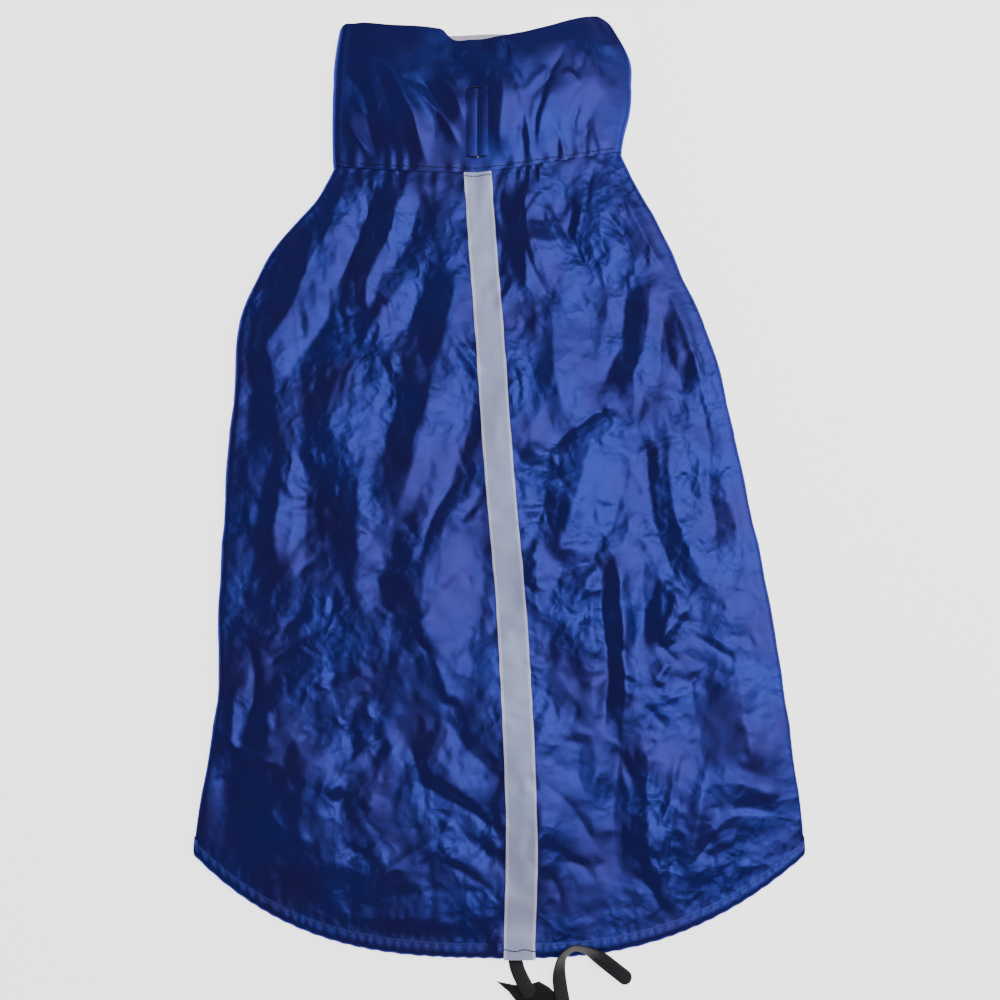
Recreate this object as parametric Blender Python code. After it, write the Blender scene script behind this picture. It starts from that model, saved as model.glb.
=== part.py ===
"""Dog raincoat, laid out flat with its back upwards.

+Y points to the collar, +X to the right of the coat as seen from above with the collar away
from you, and +Z up from the surface that the coat lies on. Everything is drawn around the
point where the collar seam crosses the centre back. At the end the coat is moved so that the
middle of its base is at the origin.
"""

import math
from collections import namedtuple

import bmesh
import bpy
import numpy as np

MM = 0.001

# Driving dimensions.
BACK_LENGTH = 546 * MM  # centre back, from the collar seam to the hem
TAIL_DROP = 63 * MM  # how much lower the hem hangs at the centre back than at the side folds
CLOTH = 1.2 * MM  # coated nylon shell with the thickness of its turnings
LINING = 1.0 * MM
LINING_GAP = 0.8 * MM
GAP = 0.3 * MM  # between sewn pieces
TAPE_WIDTH = 20 * MM
TAPE = 0.8 * MM
CASING_WIDTH = 9 * MM  # the turned hem with its elastic
CASING = 3.0 * MM
UNDER_TURN = 30 * MM  # how far the back panel goes on under the coat past its side folds
UNDER_SHORT = 2 * MM  # the layer below is that much shorter than the one above
BELLY_CURVE = 0.16  # how far the belly panel's rear edge is cut up, as a share of the back
SLIT_LENGTH = (0.11, 0.59)  # the leash slit, as shares of the collar's height
SLIT_HALF_WIDTH = 0.8 * MM
COLLAR_HEIGHT = 112 * MM
WELT_WIDTH = 8 * MM
WELT = 0.9 * MM
LINING_FROM = 0.59  # the lining shows from here to the collar's top edge
LEG_CENTRE = (82 * MM, -150 * MM)  # the front leg openings, left and right of the middle
LEG_SIZE = (36 * MM, 52 * MM)  # half width and half length of a leg opening
STRAP_WIDTH = 9 * MM
STRAP = 1.2 * MM

# Sections across the body, in mm: its side folds and its centre back, the height of the cloth
# and the radius at which it rolls over at the side folds.
Section = namedtuple("Section", "share left centre right height roll")
BODY = [
    Section(0.00, -106.5, 0.0, 106.5, 14.0, 5.6),
    Section(0.05, -117.5, 1.8, 116.5, 12.6, 5.4),
    Section(0.12, -143.5, 4.4, 133.5, 11.5, 5.2),
    Section(0.20, -162.5, 7.7, 148.5, 11.0, 5.0),
    Section(0.26, -170.5, 10.0, 160.0, 11.0, 5.0),
    Section(0.34, -171.0, 12.7, 171.5, 10.8, 4.8),
    Section(0.46, -173.3, 17.5, 181.5, 10.6, 4.6),
    Section(0.60, -173.6, 24.0, 192.8, 10.4, 4.4),
    Section(0.70, -173.4, 27.0, 199.6, 10.0, 4.2),
    Section(0.80, -171.0, 29.4, 205.0, 9.4, 3.9),
    Section(0.90, -175.6, 30.4, 209.4, 7.6, 3.1),
    Section(1.00, -181.4, 28.8, 213.4, 3.2, 1.3),
]
# Sections across the collar, from its seam to its top edge.
COLLAR = [
    Section(0.00, -106.5, 0.0, 106.5, 14.0, 5.6),
    Section(0.15, -108.2, 0.0, 109.2, 16.0, 6.0),
    Section(0.35, -108.8, 0.0, 113.6, 18.0, 6.4),
    Section(0.60, -108.6, 0.0, 115.0, 18.5, 6.6),
    Section(0.85, -107.4, 0.0, 113.2, 17.0, 6.4),
    Section(1.00, -105.5, 0.0, 106.0, 15.0, 6.0),
]
# The collar's top edge, round the neck: across is -1 at the left fold and 1 at the right one.
Edge = namedtuple("Edge", "across top")
NEAR_TOP = [
    Edge(-1.00, 119.0),
    Edge(-0.88, 121.5),
    Edge(-0.30, 113.0),
    Edge(-0.17, 104.0),
    Edge(0.10, 106.0),
    Edge(0.45, 114.5),
    Edge(0.82, 125.5),
    Edge(0.94, 121.5),
    Edge(1.00, 110.0),
]
FAR_TOP = [
    Edge(-1.00, 119.0),
    Edge(-0.75, 124.0),
    Edge(-0.30, 119.5),
    Edge(0.00, 113.5),
    Edge(0.25, 112.5),
    Edge(0.60, 105.0),
    Edge(1.00, 110.0),
]
# The largest folds, in mm: a soft ridge, or a trough where its rise is negative.
Fold = namedtuple("Fold", "x1 y1 x2 y2 width rise")
BODY_FOLDS = [
    Fold(-64, -12, -140, -150, 15, 5.0),
    Fold(-40, -40, -84, -130, 12, -2.5),
    Fold(-28, -150, -62, -262, 17, 3.5),
    Fold(-92, -190, -118, -300, 18, 4.5),
    Fold(-142, -330, -76, -268, 13, -2.0),
    Fold(-150, -400, -100, -442, 14, 3.5),
    Fold(-30, -420, 10, -470, 18, 3.5),
    Fold(80, -30, 142, -140, 14, 3.5),
    Fold(54, -60, 62, -190, 20, 4.0),
    Fold(100, -200, 72, -300, 17, 3.5),
    Fold(150, -210, 168, -330, 15, 3.5),
    Fold(86, -350, 96, -480, 17, 4.0),
    Fold(128, -470, 178, -420, 15, 4.0),
]
COLLAR_FOLDS = [
    Fold(-72, 98, -44, 22, 12, 5.0),
    Fold(-98, 74, -78, 16, 10, 3.0),
    Fold(-26, 96, -16, 58, 14, -5.0),
    Fold(20, 92, 18, 22, 14, 6.0),
    Fold(58, 96, 46, 28, 13, 3.5),
    Fold(84, 92, 94, 34, 14, 3.0),
]
FOLD_FADE = 26 * MM  # folds die away this far from a side fold and from a hem

# How the side strap lies, in mm: its middle line, and how far it is turned about that line.
Place = namedtuple("Place", "x y z turn")
SEWN_RUN = [
    Place(25.0, -506.0, 0.9, 0),
    Place(25.3, -530.0, 0.9, 0),
    Place(25.8, -547.0, 0.9, 0),
    Place(27.2, -554.5, 1.3, 0),
    Place(30.0, -560.8, 3.0, 0),
    Place(33.5, -567.0, 3.8, 0),
    Place(36.5, -572.0, 3.7, 0),
]
FREE_RUN = [
    Place(56.8, -582.0, 3.7, 0),
    Place(55.6, -573.5, 3.8, 0),
    Place(54.2, -565.0, 3.4, -4),
    Place(53.7, -556.8, 4.6, -28),
    Place(56.2, -547.2, 8.6, -56),
    Place(62.5, -542.6, 9.2, -62),
    Place(71.0, -543.8, 8.4, -56),
    Place(79.0, -548.6, 5.6, -28),
    Place(88.6, -555.4, 3.2, -6),
    Place(98.5, -562.8, 2.6, 0),
]
END_FOLD = 27 * MM  # the length turned back and sewn at the strap's free end
Corner = namedtuple("Corner", "x y")
PATCH = [  # the outline of the napped patch that joins the strap's two runs, in mm
    Corner(14.5, -562.8),
    Corner(24.5, -564.8),
    Corner(33.0, -565.4),
    Corner(41.0, -562.8),
    Corner(47.5, -566.4),
    Corner(51.0, -569.6),
    Corner(58.5, -570.2),
    Corner(61.5, -579.0),
    Corner(58.5, -590.0),
    Corner(45.0, -594.5),
    Corner(33.0, -590.0),
    Corner(29.0, -577.0),
    Corner(22.0, -569.0),
]
PATCH_HEIGHT = 2.6 * MM

BODY_ROWS = np.linspace(0, 1, 37)
BELLY_ROWS = 29  # the belly panel ends beside this row of the back panel
LEG_ROW = 11  # the row of the underside along which the chest and belly panels meet
COLLAR_ROWS = [0, 0.11, 0.23, 0.35, 0.47, 0.59, 0.7, 0.8, 0.9, 1.0]
ROLL_STEPS = 6
TOP_STEPS = 9
BELLY_STEPS = 6
HEM_POWER = {-1: 3.1, 1: 2.4}  # how square each half of the hem is

# Colour, roughness and metallic share of each material.
Look = namedtuple("Look", "colour roughness metallic")
LOOKS = {
    "navy_nylon": Look((0.028, 0.055, 0.30), 0.38, 0.0),
    "pale_lining": Look((0.62, 0.62, 0.70), 0.85, 0.0),
    "reflective_tape": Look((0.42, 0.46, 0.56), 0.45, 0.2),
    "black_webbing": Look((0.018, 0.018, 0.022), 0.75, 0.0),
    "black_nap": Look((0.006, 0.006, 0.007), 0.95, 0.0),
}


def clear_scene():
    for thing in list(bpy.data.objects):
        bpy.data.objects.remove(thing)


def material(name):
    found = bpy.data.materials.get(name)
    if found:
        return found
    made = bpy.data.materials.new(name)
    made.use_nodes = True
    shader = made.node_tree.nodes["Principled BSDF"]
    look = LOOKS[name]
    shader.inputs["Base Color"].default_value = (*look.colour, 1)
    shader.inputs["Roughness"].default_value = look.roughness
    shader.inputs["Metallic"].default_value = look.metallic
    return made


def through(places, values, at):
    """A smooth curve through a table's values, read at some place or places."""
    places, values = np.array(places, float), np.array(values, float)
    slopes = np.gradient(values, places)
    at = np.clip(at, places[0], places[-1])
    i = np.clip(np.searchsorted(places, at) - 1, 0, len(places) - 2)
    step = places[i + 1] - places[i]
    t = (at - places[i]) / step
    return (
        (1 + 2 * t) * (1 - t) ** 2 * values[i]
        + t * (1 - t) ** 2 * step * slopes[i]
        + t * t * (3 - 2 * t) * values[i + 1]
        + t * t * (t - 1) * step * slopes[i + 1]
    )


def column(table, name, at):
    """A column of a table of sections or edge heights, in metres, read along its first column."""
    first = table[0]._fields[0]
    places = [getattr(row, first) for row in table]
    return through(places, [getattr(row, name) for row in table], at) * MM


def smooth_step(t):
    t = np.clip(t, 0, 1)
    return t * t * (3 - 2 * t)


def folds_at(folds, x, y):
    """The height that the folds add at a place."""
    added = np.zeros_like(x)
    for fold in folds:
        start = np.array([fold.x1, fold.y1]) * MM
        way = np.array([fold.x2, fold.y2]) * MM - start
        share = ((x - start[0]) * way[0] + (y - start[1]) * way[1]) / (way @ way)
        share = np.clip(share, 0, 1)
        away = np.hypot(x - start[0] - share * way[0], y - start[1] - share * way[1])
        added += fold.rise * MM * np.exp(-((away / (fold.width * MM)) ** 2))
    return added


def neck_seam(across):
    """The collar seam over the back."""
    rise = np.where(across < 0, 7 * MM * across**2, 19 * MM * np.abs(across) ** 1.15)
    return -4.5 * MM + rise


def throat_seam(across):
    """The collar seam under the throat, which meets the neck seam at the side folds."""
    return neck_seam(np.sign(across)) * across**2 - 12 * MM * (1 - across**2)


def hem_line(across):
    side = np.where(across < 0, HEM_POWER[-1], HEM_POWER[1])
    return -BACK_LENGTH - 3 * MM + TAIL_DROP * np.abs(across) ** side


def panel_end(across):
    """Where the back panel ends and the hem casing begins."""
    return hem_line(across) + CASING_WIDTH + GAP


def across_from(table, down, side, inward):
    """How far across a point is, given its distance inward from the side fold."""
    half = np.abs(fold_line(table, down, side) - column(table, "centre", down))
    return side * (1 - inward / half)


def fold_line(table, down, side):
    return column(table, "left" if side < 0 else "right", down)


def across_to_x(table, down, across):
    centre = column(table, "centre", down)
    left, right = fold_line(table, down, -1), fold_line(table, down, 1)
    return centre + np.where(across < 0, centre - left, right - centre) * across


def strip_inward(table, down, side, offset):
    """Distance inward from a side fold to a line that runs offset from the centre back."""
    return np.abs(fold_line(table, down, side) - column(table, "centre", down)) - offset


def section(table, folds, near, far, down, side, offsets, under, gathered):
    """One half of a section: through some points under the coat, round the side fold and over
    the top to one or more offsets from the centre. near and far give y for a place across,
    above and below, and gathered is the share of the folds' height that is there."""
    height, roll = column(table, "height", down), column(table, "roll", down)
    bottom = CLOTH / 2
    angles = np.linspace(0, math.pi, ROLL_STEPS + 1)
    ends = strip_inward(table, down, side, np.array(offsets))
    over_top = np.append(np.linspace(roll, ends[0], TOP_STEPS + 1)[1:], ends[1:])
    inward = np.concatenate([under, roll * (1 - np.sin(angles)), over_top])
    turned = np.concatenate(
        [np.zeros(len(under)), (1 - np.cos(angles)) / 2, np.ones(len(over_top))]
    )
    across = across_from(table, down, side, inward)
    x = across_to_x(table, down, across)
    y = far(across) + (near(across) - far(across)) * turned
    rolled = bottom + 2 * roll * turned
    over = smooth_step((inward - roll) / (60 * MM)) * (turned == 1)
    lift = smooth_step((inward - roll) / FOLD_FADE) * (turned == 1) * gathered
    z = rolled + over * (height - bottom - 2 * roll) + lift * folds_at(folds, x, y)
    return np.stack([x, y, z], axis=1)


def under_turn(table, down):
    """Distances inward of the back panel's points under the coat."""
    return np.array([UNDER_TURN, (UNDER_TURN + column(table, "roll", down)) / 2])


def belly_across(table, down, side):
    """Places across of the belly panel's points, from the back panel's edge to the middle."""
    return across_from(table, down, side, UNDER_TURN + GAP) * np.linspace(1, 0, BELLY_STEPS + 1)


def body_section(down):
    """The back panel's whole section, from its left edge to its right one."""
    fade = smooth_step(min(down, 1 - down) * BACK_LENGTH / FOLD_FADE)

    def near(across):
        return neck_seam(across) - GAP / 2 + (panel_end(across) - neck_seam(across)) * down

    def far(across):
        end = panel_end(across) + UNDER_SHORT
        return throat_seam(across) - GAP / 2 + (end - throat_seam(across)) * down

    under = under_turn(BODY, down)
    offsets = [TAPE_WIDTH / 2, 0]
    left, right = (
        section(BODY, BODY_FOLDS, near, far, down, side, offsets, under, fade)
        for side in (-1, 1)
    )
    return np.concatenate([left, right[-2::-1]])


def collar_section(up, side):
    """Half of the collar's section, from the throat round the side fold to the centre back."""
    opened = SLIT_HALF_WIDTH if SLIT_LENGTH[0] < up < SLIT_LENGTH[1] else GAP / 2

    def near(across):
        top = column(NEAR_TOP, "top", across)
        return neck_seam(across) + GAP / 2 + (top - neck_seam(across)) * up

    def far(across):
        top = column(FAR_TOP, "top", across)
        return throat_seam(across) + GAP / 2 + (top - throat_seam(across)) * up

    fade = smooth_step(up * COLLAR_HEIGHT / FOLD_FADE)
    half = strip_inward(COLLAR, up, side, 0)
    under = half * (1 - np.abs(belly_across(COLLAR, up, side)[::-1]))
    under[0] -= GAP / 2
    under = np.concatenate([under, under_turn(COLLAR, up)])
    offsets = [WELT_WIDTH, opened]
    return section(COLLAR, COLLAR_FOLDS, near, far, up, side, offsets, under, fade)


def grid_mesh(name, grid, close=False):
    """A mesh of triangles over a grid of points, always cut along the same diagonal."""
    rows, columns = grid.shape[:2]
    built = bmesh.new()
    verts = [[built.verts.new(point) for point in row] for row in grid]
    for i in range(rows - 1):
        for j in range(columns if close else columns - 1):
            k = (j + 1) % columns
            corners = verts[i][j], verts[i][k], verts[i + 1][k], verts[i + 1][j]
            built.faces.new(corners[:3])
            built.faces.new((corners[0], corners[2], corners[3]))
    mesh = bpy.data.meshes.new(name)
    built.to_mesh(mesh)
    built.free()
    return mesh


def add_object(name, mesh, look):
    made = bpy.data.objects.new(name, mesh)
    bpy.context.scene.collection.objects.link(made)
    mesh.materials.append(material(look))
    mesh.shade_smooth()
    mesh.set_sharp_from_angle(angle=math.radians(40))
    return made


def thicken(made, thickness, even=True):
    """Gives a sheet its thickness, with the sheet itself in the middle."""
    wall = made.modifiers.new("wall", "SOLIDIFY")
    wall.thickness = thickness
    wall.offset = 0
    wall.use_even_offset = even
    return made


def moved_out(grid, distance):
    """A grid's points, each moved along the surface's normal at that point."""
    along = np.gradient(grid, axis=1)
    down = np.gradient(grid, axis=0)
    normal = np.cross(along, down)
    normal /= np.linalg.norm(normal, axis=2, keepdims=True)
    normal *= np.where(normal[..., 2:] < 0, -1, 1)
    return grid + normal * distance


def make_back_panel():
    grid = np.array([body_section(down) for down in BODY_ROWS])
    thicken(add_object("back_panel", grid_mesh("back_panel", grid), "navy_nylon"), CLOTH)
    return grid


def make_underside():
    """The chest and belly panels, between the edges of the back panel's under-turns. The seam
    between the two runs through both leg openings, and the rear edge is cut up in the middle."""
    rows = []
    for share in BODY_ROWS[: BELLY_ROWS + 1] / BODY_ROWS[BELLY_ROWS]:
        row = []
        for side in (-1, 1):
            line = np.linspace(1, 0, BELLY_STEPS + 1)
            rear = BODY_ROWS[BELLY_ROWS] - BELLY_CURVE * (1 - line**2) ** 1.5
            down = share * rear
            across = belly_across(BODY, down, side)
            end = panel_end(across) + UNDER_SHORT
            y = throat_seam(across) - GAP / 2 + (end - throat_seam(across)) * down
            x = across_to_x(BODY, down, across)
            half = np.stack([x, y, np.full_like(x, CLOTH / 2)], axis=1)
            row.append(half if side < 0 else half[-2::-1])
        rows.append(np.concatenate(row))
    grid = np.array(rows)
    cutters = [leg_cutter(side) for side in (-1, 1)]
    add_underside_panel("chest_panel", grid[: LEG_ROW + 1], cutters)
    behind = grid[LEG_ROW:].copy()
    behind[0, :, 1] -= GAP
    add_underside_panel("belly_panel", behind, cutters)


def add_underside_panel(name, grid, cutters):
    made = thicken(add_object(name, grid_mesh(name, grid), "navy_nylon"), CLOTH)
    for cutter in cutters:
        cut = made.modifiers.new("leg_opening", "BOOLEAN")
        cut.operation = "DIFFERENCE"
        cut.object = cutter


def leg_cutter(side):
    """An oval post where a front leg goes through the belly panel."""
    built = bmesh.new()
    bmesh.ops.create_cone(
        built, cap_ends=True, segments=28, radius1=1, radius2=1, depth=20 * MM
    )
    mesh = bpy.data.meshes.new("leg_cutter")
    built.to_mesh(mesh)
    built.free()
    middle = 8 * MM
    for vert in mesh.vertices:
        vert.co.x = middle + side * LEG_CENTRE[0] + vert.co.x * LEG_SIZE[0]
        vert.co.y = LEG_CENTRE[1] + vert.co.y * LEG_SIZE[1]
    cutter = bpy.data.objects.new("leg_cutter", mesh)
    bpy.context.scene.collection.objects.link(cutter)
    cutter.hide_render = True
    cutter.display_type = "WIRE"
    return cutter


def make_collar():
    """Both halves, the lining inside the top of the collar, and the welts of the slit."""
    halves = {}
    for side, name in ((-1, "collar_left"), (1, "collar_right")):
        grid = np.array([collar_section(up, side) for up in COLLAR_ROWS])
        halves[side] = grid
        thicken(add_object(name, grid_mesh(name, grid), "navy_nylon"), CLOTH)
    make_lining(halves)
    make_welts(halves)


def make_lining(halves):
    """One band round the inside of the neck, from LINING_FROM up to the top edge."""
    first = COLLAR_ROWS.index(LINING_FROM)
    left, right = halves[-1][first:], halves[1][first:]
    throat, nape = ((left[:, k] + right[:, k])[:, None] / 2 for k in (0, -1))
    loop = np.concatenate([throat, left[:, 1:-1], nape, right[:, -2:0:-1]], axis=1)
    inset = CLOTH / 2 + LINING_GAP + LINING / 2
    round_it = np.roll(loop, -1, axis=1) - np.roll(loop, 1, axis=1)
    inwards = np.cross(np.gradient(loop, axis=0), round_it)
    inwards /= np.linalg.norm(inwards, axis=2, keepdims=True)
    loop = loop + inwards * inset
    made = add_object("collar_lining", grid_mesh("collar_lining", loop, close=True), "pale_lining")
    thicken(made, LINING, even=False)


def make_welts(halves):
    first, last = (COLLAR_ROWS.index(share) for share in SLIT_LENGTH)
    for side, name in ((-1, "slit_welt_left"), (1, "slit_welt_right")):
        strip = halves[side][first : last + 1, -2:].copy()
        strip[:, 1, 0] = side * SLIT_HALF_WIDTH
        strip = moved_out(strip, CLOTH / 2 + GAP + WELT / 2)
        thicken(add_object(name, grid_mesh(name, strip), "navy_nylon"), WELT)


def make_tape(body):
    """The reflective tape, from the collar seam over the hem casing to the edge of the hem."""
    middle = body.shape[1] // 2
    strip = moved_out(body[:, middle - 1 : middle + 2], CLOTH / 2 + GAP + TAPE / 2)
    over_casing = []
    for down_past in (0.9 * MM, CASING_WIDTH + 1.0 * MM):
        row = strip[-1].copy()
        row[:, 1] -= down_past
        row[:, 2] = casing_floor(row[:, 0]) + CASING + 2 * GAP + TAPE / 2
        over_casing.append(row)
    grid = np.concatenate([strip, np.array(over_casing)])
    thicken(add_object("reflective_tape", grid_mesh("reflective_tape", grid), "reflective_tape"), TAPE)


def casing_floor(x):
    """The hem lies on the surface, except where the strap comes out from under it."""
    strap = SEWN_RUN[1].x * MM
    return 1.9 * MM * smooth_step(2.2 - np.abs(x - strap) / (8 * MM))


def make_hem_casing(body):
    """The turned hem with its elastic: a flat bar with round edges along the hem line."""
    fold = 2 + ROLL_STEPS // 2
    top = body[-1][fold:-fold]
    x = top[:, 0]
    front = top[:, 1] - GAP
    rear = front - CASING_WIDTH
    # Each place round the bar: its share of the width from the front, and of the height.
    round_bar = [(0, 0.25), (0.12, 0), (0.86, 0), (1, 0.3), (1, 0.7), (0.86, 1), (0.12, 1), (0, 0.6)]
    rings = []
    for share, up in round_bar:
        y = front + (rear - front) * share
        z = casing_floor(x) + CASING * up
        rings.append(np.stack([x, y, z], axis=1))
    grid = np.array(rings).transpose(1, 0, 2)
    mesh = grid_mesh("hem_casing", grid, close=True)
    fill_ends(mesh)
    add_object("hem_casing", mesh, "navy_nylon")


def fill_ends(mesh):
    """Closes a tube's two open ends and turns its faces outwards."""
    built = bmesh.new()
    built.from_mesh(mesh)
    bmesh.ops.holes_fill(built, edges=[e for e in built.edges if e.is_boundary])
    bmesh.ops.recalc_face_normals(built, faces=built.faces)
    built.to_mesh(mesh)
    built.free()


def strap_sections(places, steps):
    """Middle points, side directions and face directions along a strap, from its places."""
    table = np.array(places, float)
    lengths = np.linalg.norm(np.diff(table[:, :3], axis=0), axis=1)
    along = np.concatenate([[0], np.cumsum(lengths)])
    at = np.linspace(0, along[-1], steps)
    middle = np.stack([through(along, table[:, k], at) for k in range(3)], axis=1) * MM
    turn = np.radians(through(along, table[:, 3], at))
    way = np.gradient(middle, axis=0)
    way /= np.linalg.norm(way, axis=1, keepdims=True)
    flat = np.cross(way, [0, 0, 1])
    flat /= np.linalg.norm(flat, axis=1, keepdims=True)
    up = np.cross(flat, way)
    side = flat * np.cos(turn)[:, None] + up * np.sin(turn)[:, None]
    return middle, side, np.cross(side, way)


def ribbon(name, middle, side, thickness=STRAP):
    grid = np.stack([middle + side * STRAP_WIDTH / 2 * k for k in (-1, 0, 1)], axis=1)
    return thicken(add_object(name, grid_mesh(name, grid), "black_webbing"), thickness)


def make_strap():
    """The strap's run that is sewn under the hem, its run with the free end, and the patch
    that both are sewn to."""
    middle, side, face = strap_sections(SEWN_RUN, 14)
    ribbon("strap_sewn_run", middle, side)
    middle, side, face = strap_sections(FREE_RUN, 28)
    ribbon("strap_free_run", middle, side)
    lengths = np.linalg.norm(np.diff(middle, axis=0), axis=1)
    to_end = np.append(np.cumsum(lengths[::-1])[::-1], 0)
    doubled = to_end < END_FOLD
    below = middle[doubled] - face[doubled] * (STRAP + GAP)
    ribbon("strap_end_fold", below, side[doubled])
    make_patch()


def make_patch():
    built = bmesh.new()
    outline = [built.verts.new((corner.x * MM, corner.y * MM, 0)) for corner in PATCH]
    face = built.faces.new(outline)
    raised = bmesh.ops.extrude_face_region(built, geom=[face])
    lifted = [g for g in raised["geom"] if isinstance(g, bmesh.types.BMVert)]
    bmesh.ops.translate(built, verts=lifted, vec=(0, 0, PATCH_HEIGHT))
    bmesh.ops.recalc_face_normals(built, faces=built.faces)
    mesh = bpy.data.meshes.new("strap_patch")
    built.to_mesh(mesh)
    built.free()
    made = add_object("strap_patch", mesh, "black_nap")
    round_edges = made.modifiers.new("round_edges", "BEVEL")
    round_edges.width = 0.7 * MM
    round_edges.segments = 2
    round_edges.limit_method = "ANGLE"


def corners_of(names):
    """Lowest and highest corner of some objects, as they are with their modifiers."""
    bpy.context.view_layer.update()
    graph = bpy.context.evaluated_depsgraph_get()
    points = []
    for name in names:
        shown = bpy.data.objects[name].evaluated_get(graph)
        mesh = shown.to_mesh()
        points += [shown.matrix_world @ vert.co for vert in mesh.vertices]
        shown.to_mesh_clear()
    points = np.array(points)
    return points.min(axis=0), points.max(axis=0)


def centre_on_origin():
    """Moves everything so that the middle of the coat's base, without its strap, is the origin."""
    coat = [o.name for o in bpy.data.objects if not o.hide_render and "strap" not in o.name]
    low, high = corners_of(coat)
    shift = np.array([-(low[0] + high[0]) / 2, -(low[1] + high[1]) / 2, -low[2]])
    for thing in bpy.data.objects:
        thing.location = shift
    print("collar seam at the centre back is at", np.round(shift * 1000, 2), "mm")


def main():
    clear_scene()
    body = make_back_panel()
    make_underside()
    make_collar()
    make_tape(body)
    make_hem_casing(body)
    make_strap()
    centre_on_origin()


main()
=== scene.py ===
"""Dog raincoat of crinkled navy nylon, laid flat on its belly: the cloth, trims and studio.

Lengths in the tables are in millimetres from the point where the collar seam crosses the
centre back, +X to the coat's right with the collar away from you, and +Y towards the collar.
"""

import math
from collections import namedtuple

import bmesh
import bpy
import numpy as np
from bpy.props import FloatProperty, FloatVectorProperty, PointerProperty, StringProperty
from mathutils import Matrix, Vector


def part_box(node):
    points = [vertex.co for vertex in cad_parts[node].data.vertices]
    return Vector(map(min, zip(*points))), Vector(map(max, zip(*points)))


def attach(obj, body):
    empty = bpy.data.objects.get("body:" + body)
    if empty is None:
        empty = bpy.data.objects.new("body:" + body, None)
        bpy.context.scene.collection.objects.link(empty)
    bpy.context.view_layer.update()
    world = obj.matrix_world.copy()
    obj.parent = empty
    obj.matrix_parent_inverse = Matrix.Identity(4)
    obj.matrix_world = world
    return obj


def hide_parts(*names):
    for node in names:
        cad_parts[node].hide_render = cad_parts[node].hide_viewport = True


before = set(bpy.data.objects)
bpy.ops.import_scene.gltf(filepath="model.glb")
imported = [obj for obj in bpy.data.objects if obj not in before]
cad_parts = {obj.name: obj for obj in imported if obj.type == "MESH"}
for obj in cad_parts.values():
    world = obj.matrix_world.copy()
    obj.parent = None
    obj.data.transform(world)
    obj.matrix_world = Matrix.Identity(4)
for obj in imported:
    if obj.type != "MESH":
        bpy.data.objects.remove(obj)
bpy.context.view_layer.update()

bl_info = {
    "name": "Dog raincoat",
    "version": (1, 0, 0),
    "blender": (4, 5, 0),
    "location": "3D View > Sidebar > Raincoat",
    "description": "Makes the cloth, trims and studio of a dog raincoat around its packed frame",
    "category": "Add Mesh",
}

MM = 0.001

# The coat's own sizes, which repeat those of its panels.
BACK_LENGTH = 546 * MM
TAIL_DROP = 63 * MM
CLOTH = 1.2 * MM
GAP = 0.3 * MM
TAPE_WIDTH = 20 * MM
TAPE_LIFT = 0.8 * MM
LOWEST_TOP = 3.0 * MM  # the back's top cloth never lies lower
CASING_WIDTH = 9 * MM
CASING = 3.0 * MM
UNDER_TURN = 30 * MM
UNDER_SHORT = 2 * MM
BELLY_REAR = 29 / 36  # the belly panel ends beside this share of the back
BELLY_CURVE = 0.16
LEG_SHARE = 11 / 29  # the chest panel's share of the underside
SLIT_LENGTH = (0.11, 0.59)
SLIT_HALF_WIDTH = 0.8 * MM
COLLAR_HEIGHT = 112 * MM
WELT_WIDTH = 8 * MM
LINING_FROM = 0.59
LEG_CENTRE = (82 * MM, -150 * MM)
LEG_SIZE = (36 * MM, 52 * MM)
LEG_MIDDLE = 8 * MM
STRAP_WIDTH = 9 * MM
STRAP = 1.2 * MM
FOLD_FADE = 26 * MM
END_FOLD = 27 * MM
FOLD_SHARE = 0.4  # the large folds keep that share of their height beside the creases
CREASE_SHARE = 0.7  # and the creases that share of theirs, where the coat's weight presses them
COLLAR_CREASE_SHARE = 0.77
COLLAR_CRINKLED = 0.22  # how crinkled the doubled collar is, where the back is 1
HEM_POWER = {-1: 3.1, 1: 2.4}

# The collar seam's middle in the frame, from the hem casing's end and the slit's two welts.
SEAM = (
    (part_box("slit_welt_left")[1][0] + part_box("slit_welt_right")[0][0]) / 2,
    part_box("hem_casing")[0][1] + BACK_LENGTH + 3 * MM + 0.15 * MM,
    0.0,
)

Section = namedtuple("Section", "share left centre right height roll")
BODY = [
    Section(0.00, -106.5, 0.0, 106.5, 14.0, 5.6),
    Section(0.05, -117.5, 1.8, 116.5, 12.6, 5.4),
    Section(0.12, -143.5, 4.4, 133.5, 11.5, 5.2),
    Section(0.20, -162.5, 7.7, 148.5, 11.0, 5.0),
    Section(0.26, -170.5, 10.0, 160.0, 11.0, 5.0),
    Section(0.34, -171.0, 12.7, 171.5, 10.8, 4.8),
    Section(0.46, -173.3, 17.5, 181.5, 10.6, 4.6),
    Section(0.60, -173.6, 24.0, 192.8, 10.4, 4.4),
    Section(0.70, -173.4, 27.0, 199.6, 10.0, 4.2),
    Section(0.80, -171.0, 29.4, 205.0, 9.4, 3.9),
    Section(0.90, -175.6, 30.4, 209.4, 7.6, 3.1),
    Section(1.00, -181.4, 28.8, 213.4, 3.2, 1.3),
]
COLLAR = [
    Section(0.00, -106.5, 0.0, 106.5, 14.0, 5.6),
    Section(0.15, -108.2, 0.0, 109.2, 16.0, 6.0),
    Section(0.35, -108.8, 0.0, 113.6, 18.0, 6.4),
    Section(0.60, -108.6, 0.0, 115.0, 18.5, 6.6),
    Section(0.85, -107.4, 0.0, 113.2, 17.0, 6.4),
    Section(1.00, -105.5, 0.0, 106.0, 15.0, 6.0),
]
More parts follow.
